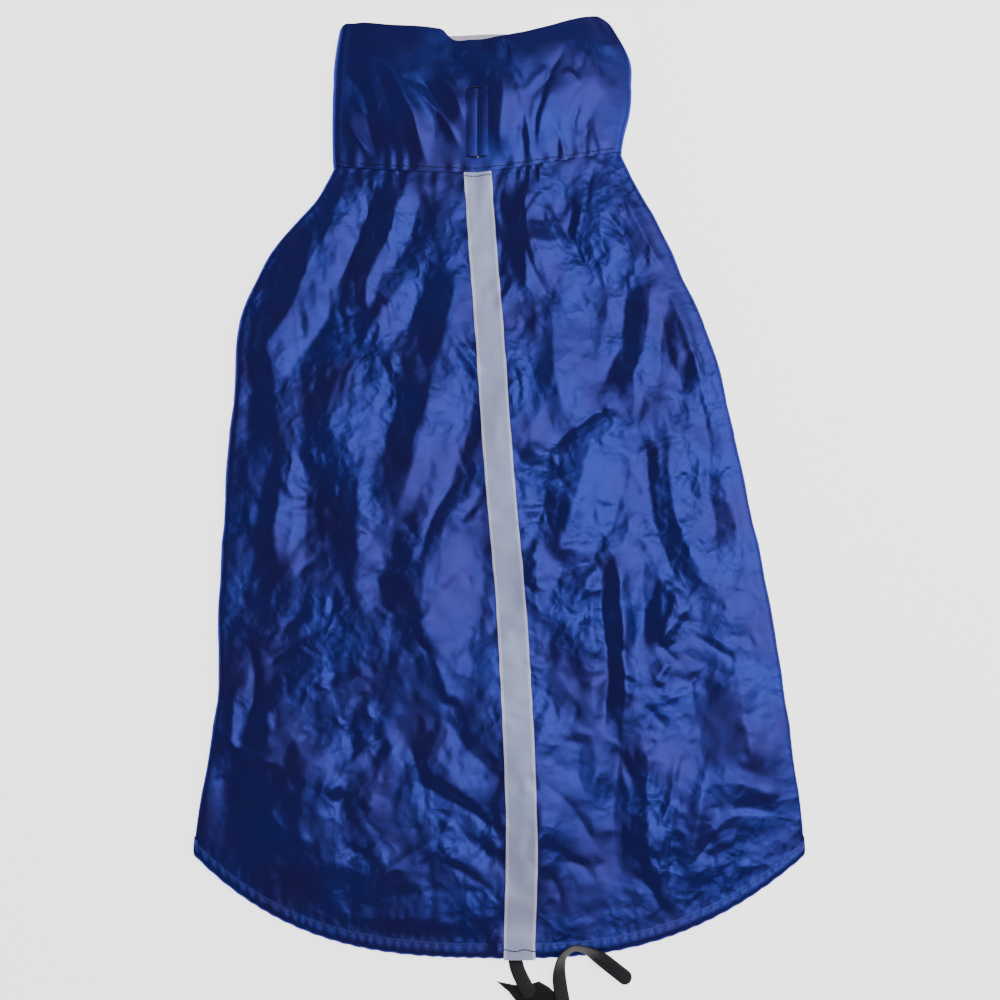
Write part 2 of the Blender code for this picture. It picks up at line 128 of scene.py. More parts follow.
# The collar's top edge, above the seam: the edge that lies on top, and the one under it.
Edge = namedtuple("Edge", "across top")
NEAR_TOP = [
    Edge(-1.00, 117.0),
    Edge(-0.97, 120.5),
    Edge(-0.90, 121.5),
    Edge(-0.62, 117.5),
    Edge(-0.30, 112.4),
    Edge(-0.26, 111.4),
    Edge(-0.25, 110.6),
    Edge(-0.18, 102.4),
    Edge(-0.17, 101.8),
    Edge(-0.06, 100.4),
    Edge(0.10, 100.8),
    Edge(0.30, 106.5),
    Edge(0.45, 112.0),
    Edge(0.80, 125.0),
    Edge(0.87, 125.5),
    Edge(0.95, 119.5),
    Edge(1.00, 110.0),
]
FAR_TOP = [
    Edge(-1.00, 119.0),
    Edge(-0.75, 124.0),
    Edge(-0.30, 118.0),
    Edge(-0.12, 118.4),
    Edge(0.25, 119.4),
    Edge(0.60, 110.0),
    Edge(1.00, 110.0),
]
# The folds that the panels are formed with: a soft ridge, or a trough where the rise is negative.
Fold = namedtuple("Fold", "x1 y1 x2 y2 width rise")
BODY_FOLDS = [
    Fold(-64, -12, -140, -150, 15, 5.0),
    Fold(-40, -40, -84, -130, 12, -2.5),
    Fold(-28, -150, -62, -262, 17, 3.5),
    Fold(-92, -190, -118, -300, 18, 4.5),
    Fold(-142, -330, -76, -268, 13, -2.0),
    Fold(-150, -400, -100, -442, 14, 3.5),
    Fold(-30, -420, 10, -470, 18, 3.5),
    Fold(80, -30, 142, -140, 14, 3.5),
    Fold(54, -60, 62, -190, 20, 4.0),
    Fold(100, -200, 72, -300, 17, 3.5),
    Fold(150, -210, 168, -330, 15, 3.5),
    Fold(86, -350, 96, -480, 17, 4.0),
    Fold(128, -470, 178, -420, 15, 4.0),
]
COLLAR_FOLDS = [
    Fold(-72, 98, -44, 22, 12, 5.0),
    Fold(-98, 74, -78, 16, 10, 3.0),
    Fold(-26, 96, -16, 58, 14, -5.0),
    Fold(20, 92, 18, 22, 14, 6.0),
    Fold(58, 96, 46, 28, 13, 3.5),
    Fold(84, 92, 94, 34, 14, 3.0),
]

# The main creases. A "slope" falls towards +X (or towards +Y for one drawn
# across), a "fall" falls the other way, a "ridge" stands up and a "trough" goes down. Bend is
# how far the middle of the line bows towards +X (or +Y).
Crease = namedtuple("Crease", "kind x1 y1 x2 y2 bend width rise")
BACK_CREASES = [
    Crease("fall", -158, -112, -150, -214, -5, 14, 3.2),
    Crease("slope", -86, -22, -150, -170, 4, 13, 3.8),
    Crease("fall", -62, -10, -102, -112, 3, 10, 3.4),
    Crease("slope", -51, -20, -54, -64, 0, 8, 2.0),
    Crease("fall", -25, -76, -36, -144, 0, 13, 3.8),
    Crease("slope", -42, -86, -74, -138, 0, 9, 2.6),
    Crease("ridge", -80, -92, -62, -110, 3, 3, 1.2),
    Crease("ridge", -86, -106, -58, -104, -4, 3, 1.2),
    Crease("trough", -98, -120, -74, -112, 2, 3, 1.4),
    Crease("ridge", -112, -126, -92, -122, -2, 3, 1.2),
    Crease("slope", -15, -154, -38, -264, 6, 14, 3.8),
    Crease("fall", -44, -168, -56, -232, 0, 10, 3.2),
    Crease("slope", -124, -214, -127, -298, 0, 9, 2.6),
    Crease("fall", -91, -222, -94, -298, -4, 12, 3.2),
    Crease("slope", -64, -250, -74, -312, 3, 10, 2.2),
    Crease("trough", -13, -236, -37, -294, -5, 4, 2.8),
    Crease("trough", 9, -250, -10, -270, -2, 4, 2.0),
    Crease("slope", -15, -270, -18, -358, 0, 20, 4.0),
    Crease("trough", -138, -366, -100, -340, 4, 4, 2.6),
    Crease("trough", -132, -348, -114, -328, 2, 3.5, 2.2),
    Crease("trough", -123, -306, -103, -289, 2, 3, 1.6),
    Crease("trough", -43, -337, -29, -362, 0, 4, 2.2),
    Crease("ridge", -30, -356, -18, -390, 3, 4, 1.8),
    Crease("ridge", -108, -376, -76, -372, -5, 4, 2.0),
    Crease("trough", -152, -350, -153, -416, 6, 8, 4.6),
    Crease("ridge", -160, -378, -160, -414, 1, 4, 2.4),
    Crease("ridge", -166, -408, -122, -430, -5, 4.5, 2.8),
    Crease("ridge", -162, -448, -138, -443, 2, 3, 1.6),
    Crease("ridge", -148, -454, -122, -471, 3, 3, 1.6),
    Crease("fall", -140, -420, -142, -506, 6, 24, 4.0),
    Crease("slope", -34, -404, 14, -450, 0, 13, 3.4),
    Crease("trough", -40, -438, 20, -478, 4, 7, 3.6),
    Crease("slope", -18, -472, 20, -508, 0, 8, 2.4),
    Crease("trough", -22, -488, 18, -515, 2, 5, 2.2),
    Crease("trough", -44, -416, -32, -464, 4, 3.5, 2.0),
    Crease("ridge", -74, -516, -24, -478, 3, 6, 2.6),
    Crease("fall", -64, -410, -80, -470, 0, 10, 2.4),
    Crease("ridge", -86, -436, -60, -412, 3, 3, 1.4),
    Crease("fall", 29, -10, 23, -94, 0, 9, 3.2),
    Crease("slope", 48, -18, 62, -92, 0, 14, 3.4),
    Crease("slope", 61, -96, 71, -184, 0, 13, 3.4),
    Crease("trough", 86, 4, 78, -34, 0, 4, 2.0),
    Crease("trough", 93, -32, 111, -73, 2, 4, 2.2),
    Crease("trough", 101, -8, 108, -40, 2, 3, 1.4),
    Crease("slope", 116, -14, 140, -80, 0, 8, 2.2),
    Crease("fall", 115, -78, 96, -180, 5, 9, 3.4),
    Crease("slope", 123, -114, 119, -178, 0, 8, 2.2),
    Crease("fall", 134, -100, 158, -214, 2, 8, 2.8),
    Crease("slope", 155, -108, 164, -164, 0, 6, 1.8),
    Crease("trough", 51, -217, 97, -184, 6, 6, 3.8),
    Crease("fall", 28, -218, 62, -228, 0, 6, 2.4),
    Crease("slope", 92, -204, 75, -282, 0, 14, 3.6),
    Crease("fall", 60, -246, 46, -292, 0, 9, 2.8),
    Crease("fall", 124, -210, 152, -318, -8, 8, 3.2),
    Crease("trough", 110, -220, 147, -208, 2, 5, 2.2),
    Crease("fall", 165, -172, 170, -300, 2, 8, 3.0),
    Crease("fall", 52, -294, 82, -290, 0, 5, 2.2),
    Crease("fall", 74, -292, 58, -324, 0, 9, 2.6),
    Crease("fall", 87, -290, 91, -412, 4, 6, 4.2),
    Crease("trough", 92, -350, 107, -364, 0, 4, 2.0),
    Crease("slope", 106, -290, 106, -358, 0, 8, 3.0),
    Crease("fall", 132, -302, 115, -354, 0, 7, 3.0),
    Crease("ridge", 148, -314, 121, -348, 3, 5, 2.2),
    Crease("trough", 120, -346, 136, -366, 0, 3.5, 2.0),
    Crease("trough", 144, -345, 173, -365, 3, 4.5, 2.8),
    Crease("trough", 114, -391, 126, -406, 0, 4, 2.0),
    Crease("fall", 154, -368, 164, -442, 0, 17, 4.2),
    Crease("trough", 172, -312, 194, -334, 3, 4, 2.2),
    Crease("slope", 68, -392, 68, -506, 0, 26, 4.6),
    Crease("trough", 45, -440, 80, -484, 3, 4, 1.6),
    Crease("trough", 44, -480, 78, -501, 2, 4, 1.6),
    Crease("trough", 44, -496, 57, -516, 2, 4, 1.6),
    Crease("fall", 104, -404, 102, -506, -3, 9, 3.8),
    Crease("ridge", 137, -414, 118, -512, -4, 6, 3.2),
    Crease("fall", 144, -424, 132, -508, -3, 8, 3.2),
    Crease("fall", 164, -450, 196, -456, 2, 7, 2.4),
    Crease("ridge", 145, -478, 194, -466, 8, 7, 2.8),
    Crease("trough", 138, -498, 157, -470, 2, 4, 2.2),
    Crease("trough", 102, -498, 119, -540, 6, 5, 3.6),
    Crease("ridge", 94, -508, 108, -513, 3, 2.5, 1.6),
    Crease("trough", 68, -523, 112, -521, 3, 5, 2.4),
]
# Where the cloth lies nearly smooth between its creases.
Calm = namedtuple("Calm", "x y across along")
CALM = [
    Calm(-23, -371, 42, 28),
    Calm(70, -450, 28, 60),
    Calm(-140, -465, 44, 40),
    Calm(-16, -312, 22, 42),
    Calm(62, -140, 26, 50),
    Calm(-118, -98, 30, 60),
    Calm(-50, -230, 40, 30),
    Calm(160, -410, 34, 40),
    Calm(188, -420, 20, 60),
    Calm(110, -325, 16, 34),
    Calm(84, -240, 24, 34),
    Calm(-20, -110, 26, 34),
    Calm(-150, -260, 24, 60),
    Calm(4, -440, 30, 22),
]
COLLAR_CREASES = [
    Crease("ridge", -77, 88, -39, 2, 6, 7, 4.0),
    Crease("fall", -88, 80, -64, 14, 3, 10, 3.4),
    Crease("ridge", -52, 62, -11, 14, 3, 5, 2.6),
    Crease("fall", -37, 74, -14, 26, 2, 10, 3.4),
    Crease("ridge", -28, 67, -9, 30, 3, 5, 2.0),
    Crease("ridge", -101, 48, -80, 10, -2, 5, 2.2),
    Crease("ridge", -97, 60, -78, 34, 2, 4, 1.0),
    Crease("slope", -6, 96, 18, 62, 0, 8, 1.8),
    Crease("slope", 28, 78, 26, 6, 0, 8, 2.2),
    Crease("trough", 20, 99, 22, 76, 0, 3, 2.2),
    Crease("trough", 65, 95, 42, 16, -6, 4, 2.2),
    Crease("slope", 52, 92, 36, 40, -3, 10, 1.8),
    Crease("slope", 64, 60, 52, 12, -2, 7, 1.8),
    Crease("ridge", 72, 112, 72, 78, 0, 4, 1.0),
    Crease("ridge", 65, 76, 76, 64, 0, 4, 1.4),
    Crease("trough", 74, 50, 71, 26, 0, 3, 1.4),
    Crease("fall", 102, 52, 80, 22, 0, 10, 2.2),
    Crease("slope", 88, 96, 96, 66, 2, 8, 1.4),
    Crease("ridge", 34, 42, 40, 6, 0, 4, 1.4),
    Crease("ridge", 55, 34, 66, 8, 0, 4, 1.4),
]
# Along the collar the cloth stands highest on a line just right of the slit.
COLLAR_CREST = (13 * MM, 9.5 * MM)

# The crumple's facets: their height in mm, how much higher they are low on the back, their size
# in mm, and how much closer they lie across the coat and along it.
Layer = namedtuple("Layer", "height more_low size across along seed")
CRUMPLE = [
    Layer(0.70, 0.0, 27, 1.4, 0.6, 11),
    Layer(1.90, 0.0, 48, 1.0, 0.8, 23),
    Layer(1.10, 0.4, 19, 1.0, 0.8, 37),
    Layer(0.42, 0.2, 9, 1.0, 0.9, 51),
]

# The strap's middle line and how far it is turned about it, in degrees.
Place = namedtuple("Place", "x y z turn")
SEWN_RUN = [
    Place(25.0, -506.0, 0.9, 0),
    Place(25.3, -530.0, 0.9, 0),
    Place(25.8, -547.0, 0.9, 0),
    Place(27.2, -554.5, 1.3, 0),
    Place(30.0, -560.8, 3.0, 0),
    Place(33.5, -567.0, 3.8, 0),
    Place(36.5, -572.0, 3.7, 0),
]
FREE_RUN = [
    Place(56.8, -582.0, 3.7, 0),
    Place(55.6, -573.5, 3.8, 0),
    Place(54.2, -565.0, 3.4, -4),
    Place(53.7, -556.8, 4.6, -28),
    Place(56.2, -547.2, 8.6, -56),
    Place(62.5, -542.6, 9.2, -62),
    Place(71.0, -543.8, 8.4, -56),
    Place(79.0, -548.6, 5.6, -28),
    Place(88.6, -555.4, 3.2, -6),
    Place(98.5, -562.8, 2.6, 0),
]
Corner = namedtuple("Corner", "x y")
PATCH = [
    Corner(14.5, -562.8),
    Corner(24.5, -564.8),
    Corner(33.0, -565.4),
    Corner(41.0, -562.8),
    Corner(47.5, -566.4),
    Corner(51.0, -569.6),
    Corner(58.5, -570.2),
    Corner(61.5, -579.0),
    Corner(58.5, -590.0),
    Corner(45.0, -594.5),
    Corner(33.0, -590.0),
    Corner(29.0, -577.0),
    Corner(22.0, -569.0),
]
PATCH_HEIGHT = 2.6 * MM
# From the patch's rim to its middle: shares of its outline and of its height.
PATCH_PROFILE = [
    (1.0, 0.05),
    (1.015, 0.45),
    (0.985, 0.8),
    (0.9, 0.98),
    (0.6, 1.1),
    (0.25, 1.12),
]
# Round the turned hem: shares of its width from the panel's end to its edge, and of its height.
CASING_PROFILE = [
    (-0.25, 0.5),
    (-0.25, 0.94),
    (0.0, 0.98),
    (0.12, 1.04),
    (0.3, 1.10),
    (0.5, 1.12),
    (0.7, 1.06),
    (0.85, 0.9),
    (0.96, 0.65),
    (1.0, 0.4),
    (0.97, 0.15),
    (0.88, 0.0),
    (0.5, 0.0),
    (0.1, 0.0),
]

# Grid sizes of the fine cloth.
BACK_ROWS = 345
TOP_STEPS = 112
ROLL_STEPS = 14
UNDER_STEPS = 4
COLLAR_ROWS = 100
COLLAR_STEPS = 96
BELLY_STEPS = 22


# ---------------------------------------------------------------------------- curves and fields


def through(places, values, at):
    """A smooth curve through a table's values, read at some place or places."""
    places, values = np.array(places, float), np.array(values, float)
    slopes = np.gradient(values, places)
    at = np.clip(at, places[0], places[-1])
    i = np.clip(np.searchsorted(places, at) - 1, 0, len(places) - 2)
    step = places[i + 1] - places[i]
    t = (at - places[i]) / step
    return (
        (1 + 2 * t) * (1 - t) ** 2 * values[i]
        + t * (1 - t) ** 2 * step * slopes[i]
        + t * t * (3 - 2 * t) * values[i + 1]
        + t * t * (t - 1) * step * slopes[i + 1]
    )


def column(table, name, at):
    """A column of a table, in metres, read along its first column."""
    first = table[0]._fields[0]
    places = [getattr(row, first) for row in table]
    return through(places, [getattr(row, name) for row in table], at) * MM


def smooth_step(t):
    """From 0 to 1 with no speed at either end."""
    t = np.clip(t, 0, 1)
    return t * t * (3 - 2 * t)


def soft_noise(x, y, size, seed):
    """Smooth noise from -1 to 1, with lumps about size across."""
    table = np.random.default_rng(seed).uniform(-1, 1, (64, 64))
    u, v = x / size, y / size
    i, j = np.floor(u).astype(int), np.floor(v).astype(int)
    s, t = smooth_step(u - i), smooth_step(v - j)
    a, b = table[i % 64, j % 64], table[(i + 1) % 64, j % 64]
    c, d = table[i % 64, (j + 1) % 64], table[(i + 1) % 64, (j + 1) % 64]
    return (a + (b - a) * s) * (1 - t) + (c + (d - c) * s) * t


def facets(x, y, size, seed):
    """Crumpled cloth: flat facets about size across, with sharp ridges and valleys between."""
    bent_x = x + 0.28 * size * soft_noise(x, y, 1.2 * size, seed + 1)
    bent_y = y + 0.28 * size * soft_noise(x, y, 1.2 * size, seed + 2)
    table = np.random.default_rng(seed).uniform(-1, 1, (64, 64))
    u = (bent_x - bent_y / math.sqrt(3)) / size
    v = bent_y * 2 / math.sqrt(3) / size
    i, j = np.floor(u).astype(int), np.floor(v).astype(int)
    s, t = u - i, v - j
    a, b = table[i % 64, j % 64], table[(i + 1) % 64, j % 64]
    c, d = table[i % 64, (j + 1) % 64], table[(i + 1) % 64, (j + 1) % 64]
    lower = a + s * (b - a) + t * (c - a)
    upper = d + (1 - s) * (c - d) + (1 - t) * (b - d)
    return np.where(s + t < 1, lower, upper)


def folds_at(folds, x, y):
    """The height that the large folds add."""
    added = np.zeros_like(x)
    for fold in folds:
        start = np.array([fold.x1, fold.y1]) * MM
        way = np.array([fold.x2, fold.y2]) * MM - start
        share = ((x - start[0]) * way[0] + (y - start[1]) * way[1]) / (way @ way)
        share = np.clip(share, 0, 1)
        away = np.hypot(x - start[0] - share * way[0], y - start[1] - share * way[1])
        added += fold.rise * MM * np.exp(-((away / (fold.width * MM)) ** 2))
    return added


def creases_at(creases, x, y):
    """The height that the creases add. Each tapers to both of its ends and wavers a little."""
    added = np.zeros_like(x)
    for number, crease in enumerate(creases):
        start = np.array([crease.x1, crease.y1]) * MM
        way = np.array([crease.x2, crease.y2]) * MM - start
        length = np.hypot(*way)
        side = np.array([-way[1], way[0]]) / length
        width = crease.width * MM
        reach = 3.5 * width + abs(crease.bend) * MM + 0.12 * length
        near = (x > min(crease.x1, crease.x2) * MM - reach) & (x < max(crease.x1, crease.x2) * MM + reach)
        near &= (y > min(crease.y1, crease.y2) * MM - reach) & (y < max(crease.y1, crease.y2) * MM + reach)
        u, v = x[near], y[near]
        share = ((u - start[0]) * way[0] + (v - start[1]) * way[1]) / length**2
        off = (u - start[0]) * side[0] + (v - start[1]) * side[1]
        off = off - crease.bend * MM * 4 * share * (1 - share)
        off = off - 0.35 * width * soft_noise(u, v, 3 * width, 300 + number)
        taper = smooth_step((share + 0.12) / 0.4) * smooth_step((1.12 - share) / 0.4)
        t = off / width
        if crease.kind in ("ridge", "trough"):
            sign = 1 if crease.kind == "ridge" else -1
            shape = sign * np.exp(0.25 - 1.5 * np.sqrt(t**2 + 0.03))
            shape = shape * np.clip((3.5 - np.abs(t)) / 1.5, 0, 1)
        else:
            sign = -1 if crease.kind == "slope" else 1
            shape = sign * np.sign(t) * np.clip(np.minimum(np.abs(t), (2.4 - np.abs(t)) / 1.4), 0, 1)
        added[near] += crease.rise * MM * taper * shape
    return added


# ---------------------------------------------------------------------------- the coat's form


def neck_seam(across):
    """How far up the collar seam lies on the top cloth, at a share across the coat."""
    rise = np.where(across < 0, 7 * MM * across**2, 19 * MM * np.abs(across) ** 1.15)
    return -4.5 * MM + rise


def throat_seam(across):
    """The same for the cloth under it, which dips at the throat."""
    return neck_seam(np.sign(across)) * across**2 - 12 * MM * (1 - across**2)


def hem_line(across):
    """The tail hem's outer edge, which curves up to both corners."""
    side = np.where(across < 0, HEM_POWER[-1], HEM_POWER[1])
    return -BACK_LENGTH - 3 * MM + TAIL_DROP * np.abs(across) ** side


def panel_end(across):
    """The back panel's rear edge, where the hem casing starts."""
    return hem_line(across) + CASING_WIDTH + GAP


def fold_line(table, down, side):
    """How far out a side fold lies."""
    return column(table, "left" if side < 0 else "right", down)


def across_from(table, down, side, inward):
    """The share across the coat, from -1 to 1, at a distance in from a side fold."""
    half = np.abs(fold_line(table, down, side) - column(table, "centre", down))
    return side * (1 - inward / half)


def across_to_x(table, down, across):
    """The place across the coat of a share from -1 to 1."""
    centre = column(table, "centre", down)
    left, right = fold_line(table, down, -1), fold_line(table, down, 1)
    return centre + np.where(across < 0, centre - left, right - centre) * across


def strip_inward(table, down, side, offset):
    """How far in from the side fold the middle lies, less an offset."""
    return np.abs(fold_line(table, down, side) - column(table, "centre", down)) - offset


def section(table, folds, near, far, down, side, offset, under, gathered, steps):
    """One half of a section, from under the coat round its side fold to offset from the middle.
    Gives the points, how far each has turned to the top, and its distance from the fold."""
    height, roll = column(table, "height", down), column(table, "roll", down)
    angles = np.linspace(0, math.pi, ROLL_STEPS + 1)
    end = strip_inward(table, down, side, offset)
    over_top = np.linspace(roll, end, steps + 1)[1:]
    inward = np.concatenate([under, roll * (1 - np.sin(angles)), over_top])
    turned = np.concatenate([np.zeros(len(under)), (1 - np.cos(angles)) / 2, np.ones(steps)])
    across = across_from(table, down, side, inward)
    x = across_to_x(table, down, across)
    y = far(across) + (near(across) - far(across)) * turned
    rolled = CLOTH / 2 + 2 * roll * turned
    over = smooth_step((inward - roll) / (60 * MM)) * (turned == 1)
    lift = FOLD_SHARE * smooth_step((inward - roll) / FOLD_FADE) * (turned == 1) * gathered
    z = rolled + over * (height - CLOTH / 2 - 2 * roll) + lift * folds_at(folds, x, y)
    from_fold = np.where(turned == 1, inward - roll, 0)
    return np.stack([x, y, z, turned, from_fold], axis=1)


def body_section(down):
    """A section across the back panel, at a share of its length from the collar seam."""
    fade = smooth_step(min(down, 1 - down) * BACK_LENGTH / FOLD_FADE)

    def near(across):
        return neck_seam(across) - GAP / 2 + (panel_end(across) - neck_seam(across)) * down

    def far(across):
        end = panel_end(across) + UNDER_SHORT
        return throat_seam(across) - GAP / 2 + (end - throat_seam(across)) * down

    roll = column(BODY, "roll", down)
    under = np.linspace(UNDER_TURN, roll, UNDER_STEPS + 1)[:-1]
    left, right = (
        section(BODY, BODY_FOLDS, near, far, down, side, 0, under, fade, TOP_STEPS)
        for side in (-1, 1)
    )
    return np.concatenate([left, right[-2::-1]])


def collar_section(up, side):
    """A section across one half of the collar, at a share of its height."""
    opened = 0.03 * MM
    if SLIT_LENGTH[0] < up < SLIT_LENGTH[1]:
        opened = SLIT_HALF_WIDTH

    def near(across):
        top = column(NEAR_TOP, "top", across)
        return neck_seam(across) + GAP / 2 + (top - neck_seam(across)) * up

    def far(across):
        top = column(FAR_TOP, "top", across)
        return throat_seam(across) + GAP / 2 + (top - throat_seam(across)) * up

    fade = smooth_step(up * COLLAR_HEIGHT / FOLD_FADE)
    roll = column(COLLAR, "roll", up)
    half = strip_inward(COLLAR, up, side, 0)
    under = np.linspace(half - GAP / 2, roll, BELLY_STEPS + UNDER_STEPS + 1)[:-1]
    return section(
        COLLAR, COLLAR_FOLDS, near, far, up, side, opened, under, fade, COLLAR_STEPS
    )


def crinkles(x, y, size, seed):
    """Sharp little ridges that wander and join, about size apart."""
    bent = x + 0.3 * size * soft_noise(x, y, 0.7 * size, seed + 5)
    lumps = soft_noise(bent, y, size, seed) + 0.45 * soft_noise(bent, y, 0.47 * size, seed + 1)
    return 0.6 - 2.2 * np.sqrt(lumps**2 + 0.0016)


def crinkled_share(x, y):
    """How crinkled the back is, from 0.5 in its calm places to 1."""
    calm = np.zeros_like(x)
    for place in CALM:
        u = (x - place.x * MM) / (place.across * MM)
        v = (y - place.y * MM) / (place.along * MM)
        calm = np.maximum(calm, np.exp(-((u**2 + v**2) ** 2)))
    return 1 - 0.5 * calm


def crumple(x, y, seed=0):
    """The small facets all over the crinkled cloth, sharper and deeper low on the back."""
    low = smooth_step((-y - 0.20) / 0.16) * smooth_step((0.20 - np.abs(x - 0.01)) / 0.1)
    total = np.zeros_like(x)
    for layer in CRUMPLE:
        lumps = facets(x * layer.across, y * layer.along, layer.size * MM, layer.seed + seed)
        total += (layer.height + layer.more_low * low) * lumps
    patch = smooth_step(0.5 + 1.2 * soft_noise(x, y, 60 * MM, 59 + seed))
    ridges = (0.3 + 0.4 * low) * patch * crinkles(x, y * 0.75, 34 * MM, 43 + seed)
    fine = 0.14 * (0.4 + 0.6 * low) * crinkles(x, y, 13 * MM, 47 + seed)
    return (total + ridges + fine) * MM


def short_creases(count, seed, left, right, low, high, upright):
    """Short sharp creases strewn over a panel, in mm. Upright ones stay near the vertical."""
    rng = np.random.default_rng(seed)
    made = []
    for _ in range(count):
        x, y = rng.uniform(left, right), rng.uniform(low, high)
        angle = rng.normal(math.pi / 2, 0.35) if upright else rng.uniform(0, math.pi)
        half = rng.uniform(5, 20) / 2 * (1.6 if upright else 1)
        a, b = half * math.cos(angle), half * math.sin(angle)
        kind = ("ridge", "trough", "slope", "fall", "trough")[rng.integers(5)]
        width = rng.uniform(1.6, 3.6)
        rise = width * rng.uniform(0.14, 0.36)
        made.append(Crease(kind, x - a, y - b, x + a, y + b, rng.uniform(-2, 2), width, rise))
    return made


def hem_gathers(x, from_hem, seed):
    """Short puckers that the elastic pulls into the cloth beside the hem."""
    length = (9 + 6 * soft_noise(x, 0 * x, 14 * MM, seed + 1)) * MM
    pitch = x / (6.5 * MM) + 0.9 * soft_noise(x, 0 * x, 20 * MM, seed)
    wave = np.sin(2 * math.pi * pitch) * (0.7 + 0.3 * soft_noise(x, 0 * x, 9 * MM, seed + 2))
    return 1.0 * MM * wave * np.exp(-((from_hem / length) ** 2))


def seam_gathers(x, from_seam, seed):
    """Puckers that the collar seam pulls into the cloth on both of its sides."""
    length = (14 + 7 * soft_noise(x, 0 * x, 18 * MM, seed + 1)) * MM
    pitch = x / (13 * MM) + 0.9 * soft_noise(x, 0 * x, 24 * MM, seed)
    wave = np.sin(2 * math.pi * pitch) * (0.6 + 0.4 * soft_noise(x, 0 * x, 15 * MM, seed + 2))
    return 1.1 * MM * wave * np.exp(-((from_seam / length) ** 2))


def wall_wobble(points, turned, seed):
    """The side folds aren't straight: they move in and out by about a millimetre."""
    y = points[..., 1]
    wobble = 0.8 * facets(y, 0 * y + 0.07 * seed, 17 * MM, seed) * MM
    return wobble * np.sin(math.pi * np.clip(turned, 0, 1))


# ---------------------------------------------------------------------------- mesh helpers


def quad_grid(rows, columns, close=False):
    """Faces of a grid of points, row by row."""
    i, j = np.meshgrid(
        np.arange(rows - 1), np.arange(columns if close else columns - 1), indexing="ij"
    )
    i, j = i.ravel(), j.ravel()
    k = (j + 1) % columns
    return np.stack(
        [i * columns + j, i * columns + k, (i + 1) * columns + k, (i + 1) * columns + j], axis=1
    )


def add_mesh(name, points, faces, look, smooth=True):
    """A new object with its points in the frame's metres, from points around the seam."""
    placed = np.asarray(points, float).reshape(-1, 3) + np.array(SEAM)
    mesh = bpy.data.meshes.new(name)
    mesh.from_pydata(placed.tolist(), [], [[int(k) for k in face] for face in faces])
    mesh.update()
    made = bpy.data.objects.new(name, mesh)
    bpy.context.scene.collection.objects.link(made)
    mesh.materials.append(look)
    if smooth:
        mesh.shade_smooth()
    return made


def grid_object(name, grid, look, close=False):
    """A sheet from a grid of points."""
    rows, columns = grid.shape[:2]
    return add_mesh(name, grid[..., :3], quad_grid(rows, columns, close), look)


def point_values(made, name, values):
    """A value at each point of a mesh, which its material reads by name."""
    found = made.data.attributes.new(name, "FLOAT", "POINT")
    count = len(made.data.vertices)
    found.data.foreach_set("value", np.broadcast_to(values, count).astype(np.float32))
    return made


def thicken(made, thickness):
    """Gives a sheet its wall, with hard edges round its rim so that no seam catches the light."""
    wall = made.modifiers.new("wall", "SOLIDIFY")
    wall.thickness = thickness
    wall.offset = 0
    bpy.context.view_layer.update()
    graph = bpy.context.evaluated_depsgraph_get()
    mesh = bpy.data.meshes.new_from_object(made.evaluated_get(graph))
    made.modifiers.clear()
    made.data = mesh
    mesh.set_sharp_from_angle(angle=math.radians(50))
    return made


def moved_out(grid, distance):
    """A grid moved up along its own normals."""
    along = np.gradient(grid, axis=1)
    down = np.gradient(grid, axis=0)
    normal = np.cross(along, down)
    normal /= np.linalg.norm(normal, axis=2, keepdims=True)
    normal *= np.where(normal[..., 2:] < 0, -1, 1)
    return grid + normal * distance


def finish_piece(made, slot, *nodes):
    """Hangs a piece on the root and hides the solids that it stands for; its finish, the slot, is not used.
    """
    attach(made, "root")
    if nodes:
        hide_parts(*nodes)
    return made


def stitch_run(line, length, gap, radius=0.32 * MM, dip=0.0):
    """Points and faces of a row of stitches: short humps of thread along a line."""
    line = np.asarray(line, float)
    steps = np.linalg.norm(np.diff(line, axis=0), axis=1)
    along = np.concatenate([[0], np.cumsum(steps)])
    count = max(1, int(along[-1] / (length + gap)))
    pitch = along[-1] / count
    points, faces = [], []
    sides = 5
    for n in range(count):
        start = n * pitch + gap / 2
        at = np.linspace(start, start + pitch - gap, 5)
        middle = np.stack([np.interp(at, along, line[:, k]) for k in range(3)], axis=1)
        middle[:, 2] += np.array([-0.25, 0.10, 0.16, 0.10, -0.25]) * MM - dip
        way = np.gradient(middle, axis=0)
        way /= np.linalg.norm(way, axis=1, keepdims=True)
        flat = np.cross(way, [0, 0, 1])
        flat /= np.linalg.norm(flat, axis=1, keepdims=True) + 1e-9
        up = np.cross(flat, way)
        first = len(points) * sides
        for place, a, b in zip(middle, flat, up):
            ring = [
                place + radius * (a * math.cos(t) + b * math.sin(t))
                for t in np.linspace(0, 2 * math.pi, sides, endpoint=False)
            ]
            points.append(ring)
        for i in range(4):
            for k in range(sides):
                m = (k + 1) % sides
                faces.append(
                    (
                        first + i * sides + k,
                        first + i * sides + m,
                        first + (i + 1) * sides + m,
                        first + (i + 1) * sides + k,
                    )
                )
    return np.array(points).reshape(-1, 3), faces


def stitches_object(name, runs, look, slot, radius=0.32 * MM):
    """Several stitch runs joined in one mesh. Each run is a line, a stitch length and a gap."""
    points, faces = [], []
    total = 0
    for line, length, gap in runs:
        found, quads = stitch_run(line, length, gap, radius)
        faces += [tuple(k + total for k in quad) for quad in quads]
        points.append(found)
        total += len(found)
    made = add_mesh(name, np.concatenate(points), faces, look)
    return finish_piece(made, slot)


# ---------------------------------------------------------------------------- materials


def linear(text):
    """An sRGB hex colour as linear red, green, blue and alpha."""
    parts = [int(text[i : i + 2], 16) / 255 for i in (1, 3, 5)]
    turned = [c / 12.92 if c <= 0.04045 else ((c + 0.055) / 1.055) ** 2.4 for c in parts]
    return (*turned, 1)


